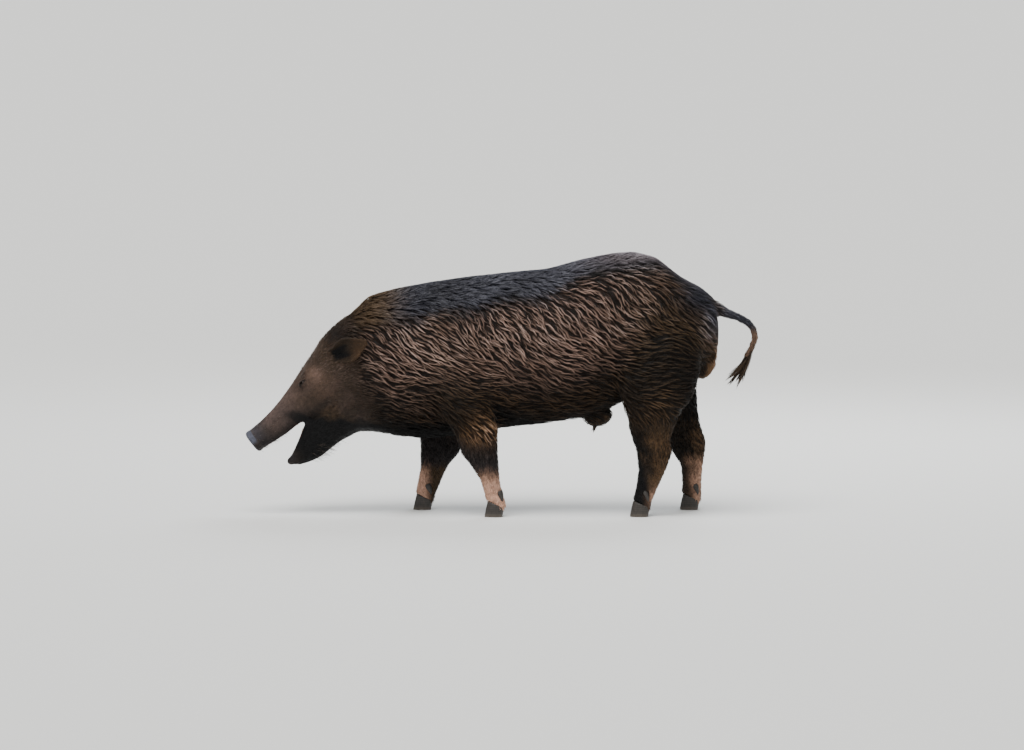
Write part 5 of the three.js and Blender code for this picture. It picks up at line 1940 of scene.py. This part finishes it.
def horn_finish():
    material, tree, shader = new_material("horn")
    place = add(tree, "TexCoord").outputs["Object"]
    upright = add(tree, "Mapping", {"Vector": place, "Scale": (1.0, 1.0, 0.12)}).outputs["Vector"]
    fibres = place_group(tree, streaks, {"Vector": upright, "Fineness": 600.0})["Streak"]
    height = add(tree, "SeparateXYZ", {"Vector": place}).outputs["Z"]
    colour = mixed(tree, fibres, *PAINTS["horn"])
    growth = add(tree, "TexWave", {
        "Vector": place, "Scale": RING_SCALE, "Distortion": 2.5, "Detail": 2.0, "Detail Scale": 1.5,
    }, bands_direction="Z").outputs["Fac"]
    colour = mixed(tree, 1.0, colour, mapped(tree, growth, 0, 1, 0.80, 1.20), "MULTIPLY")
    worn = mapped(tree, height, 0.001, 0.012, 0.55, 0.0)
    colour = mixed(tree, worn, colour, WORN_HORN_PAINT)
    tree.links.new(colour, shader.inputs["Base Color"])
    tree.links.new(mapped(tree, fibres, 0, 1, 0.40, 0.60), shader.inputs["Roughness"])
    relief = add(tree, "Math", {0: fibres, 1: growth}, operation="ADD").outputs[0]
    bump = add(tree, "Bump", {"Height": relief, "Strength": 0.5, "Distance": 0.35 * MM})
    tree.links.new(bump.outputs["Normal"], shader.inputs["Normal"])
    return material


def tongue_finish():
    material, tree, shader = new_material("tongue")
    place = add(tree, "TexCoord").outputs["Object"]
    buds = add(tree, "TexVoronoi", {"Vector": place, "Scale": 700.0}).outputs["Distance"]
    flush = add(tree, "TexNoise", {"Vector": place, "Scale": 60.0, "Detail": 3.0}).outputs["Fac"]
    colour = mixed(tree, flush, *PAINTS["tongue"])
    colour = mixed(tree, 1.0, colour, mapped(tree, buds, 0, 0.6, 0.8, 1.15), "MULTIPLY")
    tree.links.new(colour, shader.inputs["Base Color"])
    tree.links.new(mapped(tree, flush, 0.3, 0.7, 0.26, 0.40), shader.inputs["Roughness"])
    bump = add(tree, "Bump", {"Height": buds, "Strength": 0.4, "Distance": 0.4 * MM})
    tree.links.new(bump.outputs["Normal"], shader.inputs["Normal"])
    return material


def tooth_finish():
    material, tree, shader = new_material("tooth")
    place = add(tree, "TexCoord").outputs["Object"]
    stain = add(tree, "TexNoise", {"Vector": place, "Scale": 260.0, "Detail": 4.0}).outputs["Fac"]
    colour = mixed(tree, mapped(tree, stain, 0.35, 0.65, 0, 1), *PAINTS["tooth"])
    tree.links.new(colour, shader.inputs["Base Color"])
    tree.links.new(mapped(tree, stain, 0.3, 0.7, 0.25, 0.45), shader.inputs["Roughness"])
    bump = add(tree, "Bump", {"Height": stain, "Strength": 0.2, "Distance": 0.2 * MM})
    tree.links.new(bump.outputs["Normal"], shader.inputs["Normal"])
    return material


def give(piece, material):
    piece.data.materials.clear()
    piece.data.materials.append(material)


give(skin, hide)
for piece in coat_pieces:
    give(piece, wet_hair)
horn_material = horn_finish()
for piece, nodes in horns.values():
    give(piece, horn_material)
eye_material = eye_finish()
for piece in eyeballs.values():
    give(piece, eye_material)
give(tongue, tongue_finish())
tooth_material = tooth_finish()
for piece in (lower_teeth, upper_teeth):
    give(piece, tooth_material)
print("materials:", sorted(m.name for m in bpy.data.materials if m.users))


# %% Plant the bristles
def bristle_finish():
    material, tree, shader = new_material("bristle")
    place = add(tree, "TexCoord").outputs["Object"]
    tint = add(tree, "TexNoise", {"Vector": place, "Scale": 300.0}).outputs["Fac"]
    colour = mixed(tree, tint, *PAINTS["bristle"])
    colour = mixed(tree, mapped(tree, stored(tree, "along"), 0, 1, 0, 0.5), colour, BRISTLE_TIP_PAINT)
    tree.links.new(colour, shader.inputs["Base Color"])
    shader.inputs["Roughness"].default_value = 0.4
    return material


bristle_material = bristle_finish()
bristles = set_bristles("face_bristles", bristle_root, bristle_way, bristle_size, 0.8, bristle_material)
lashes = set_bristles("eyelashes", lash_root, lash_way, lash_size, 0.5, bristle_material)
print("bristles:", len(bristles.data.polygons), "faces; lashes:", len(lashes.data.polygons), "faces")

# %% [markdown]
# ## Studio, camera and hand-over
# The boar stands on a plain pale floor under one broad soft light, as on an overcast day, with
# a weaker light from the other side. The camera looks square at its left side from a long way
# off, a little above the floor, so that there is hardly any perspective.

# %% Floor, light and camera
FLOOR_HALF = 150.0
CAMERA_DISTANCE = 15.0
CAMERA_RISE = math.radians(5)
LENS, SENSOR = 199.0, 36.0       # millimetres
AIM = np.array([0, 0.0264, 0.367])

floor_corners = [(x * FLOOR_HALF, y * FLOOR_HALF, 0) for x, y in ((-1, -1), (1, -1), (1, 1), (-1, 1))]
floor_mesh = bpy.data.meshes.new("floor")
floor_mesh.from_pydata(floor_corners, [], [(0, 1, 2, 3)])
floor_piece = new_object("floor", floor_mesh)
floor_material, _, floor_shader = new_material("pale floor")
floor_shader.inputs["Base Color"].default_value = (0.78, 0.78, 0.76, 1)
floor_shader.inputs["Roughness"].default_value = 0.85
give(floor_piece, floor_material)
floor_piece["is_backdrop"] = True

camera = new_object("camera", bpy.data.cameras.new("camera"))
bpy.context.scene.camera = camera
camera.data.lens, camera.data.sensor_width = LENS, SENSOR
camera.data.clip_end = 4 * FLOOR_HALF
toward_camera = Vector((math.cos(CAMERA_RISE), 0, math.sin(CAMERA_RISE)))
camera.location = Vector(AIM) + toward_camera * CAMERA_DISTANCE
camera.rotation_euler = toward_camera.to_track_quat("Z", "Y").to_euler()

world = bpy.data.worlds.new("studio")
bpy.context.scene.world = world
world.use_nodes = True
sky = world.node_tree.nodes["Background"]
sky.inputs["Color"].default_value = (0.94, 0.97, 1.0, 1)
sky.inputs["Strength"].default_value = 0.42


def soft_light(name, kind, place, size, strength, tint):
    light = new_object(name, bpy.data.lights.new(name, kind))
    light.data.energy, light.data.color = strength, tint
    if kind == "SUN":
        light.data.angle = size
    else:
        light.data.size = size
    light.location = place
    light.rotation_euler = (Vector(place) - Vector(AIM)).to_track_quat("Z", "Y").to_euler()


soft_light("overcast light", "SUN", (1.5, -0.8, 4.3), math.radians(50), 4.3, (1.0, 0.99, 0.97))
soft_light("rim light", "AREA", (-2.4, 1.0, 2.6), 1.8, 70, (0.92, 0.96, 1.0))

# %% Hand every piece over
def hand_over(piece, slot, *nodes):
    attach(piece, "root")
    if nodes:
        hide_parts(*nodes)


hand_over(skin, "skin", *flesh)
for piece in coat_pieces:
    hand_over(piece, "coat", *(["tail_tuft"] if piece is tail_hair else []))
for piece, nodes in horns.values():
    hand_over(piece, "hoof", *nodes)
for side, piece in eyeballs.items():
    hand_over(piece, "eye", f"eye_{side}")
hand_over(tongue, "mouth", "tongue")
hand_over(lower_teeth, "tooth")
hand_over(upper_teeth, "tooth")
hand_over(bristles, "coat")
hand_over(lashes, "coat")

low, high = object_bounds()
print("model spans", [round(b - a, 4) for a, b in zip(low, high)])
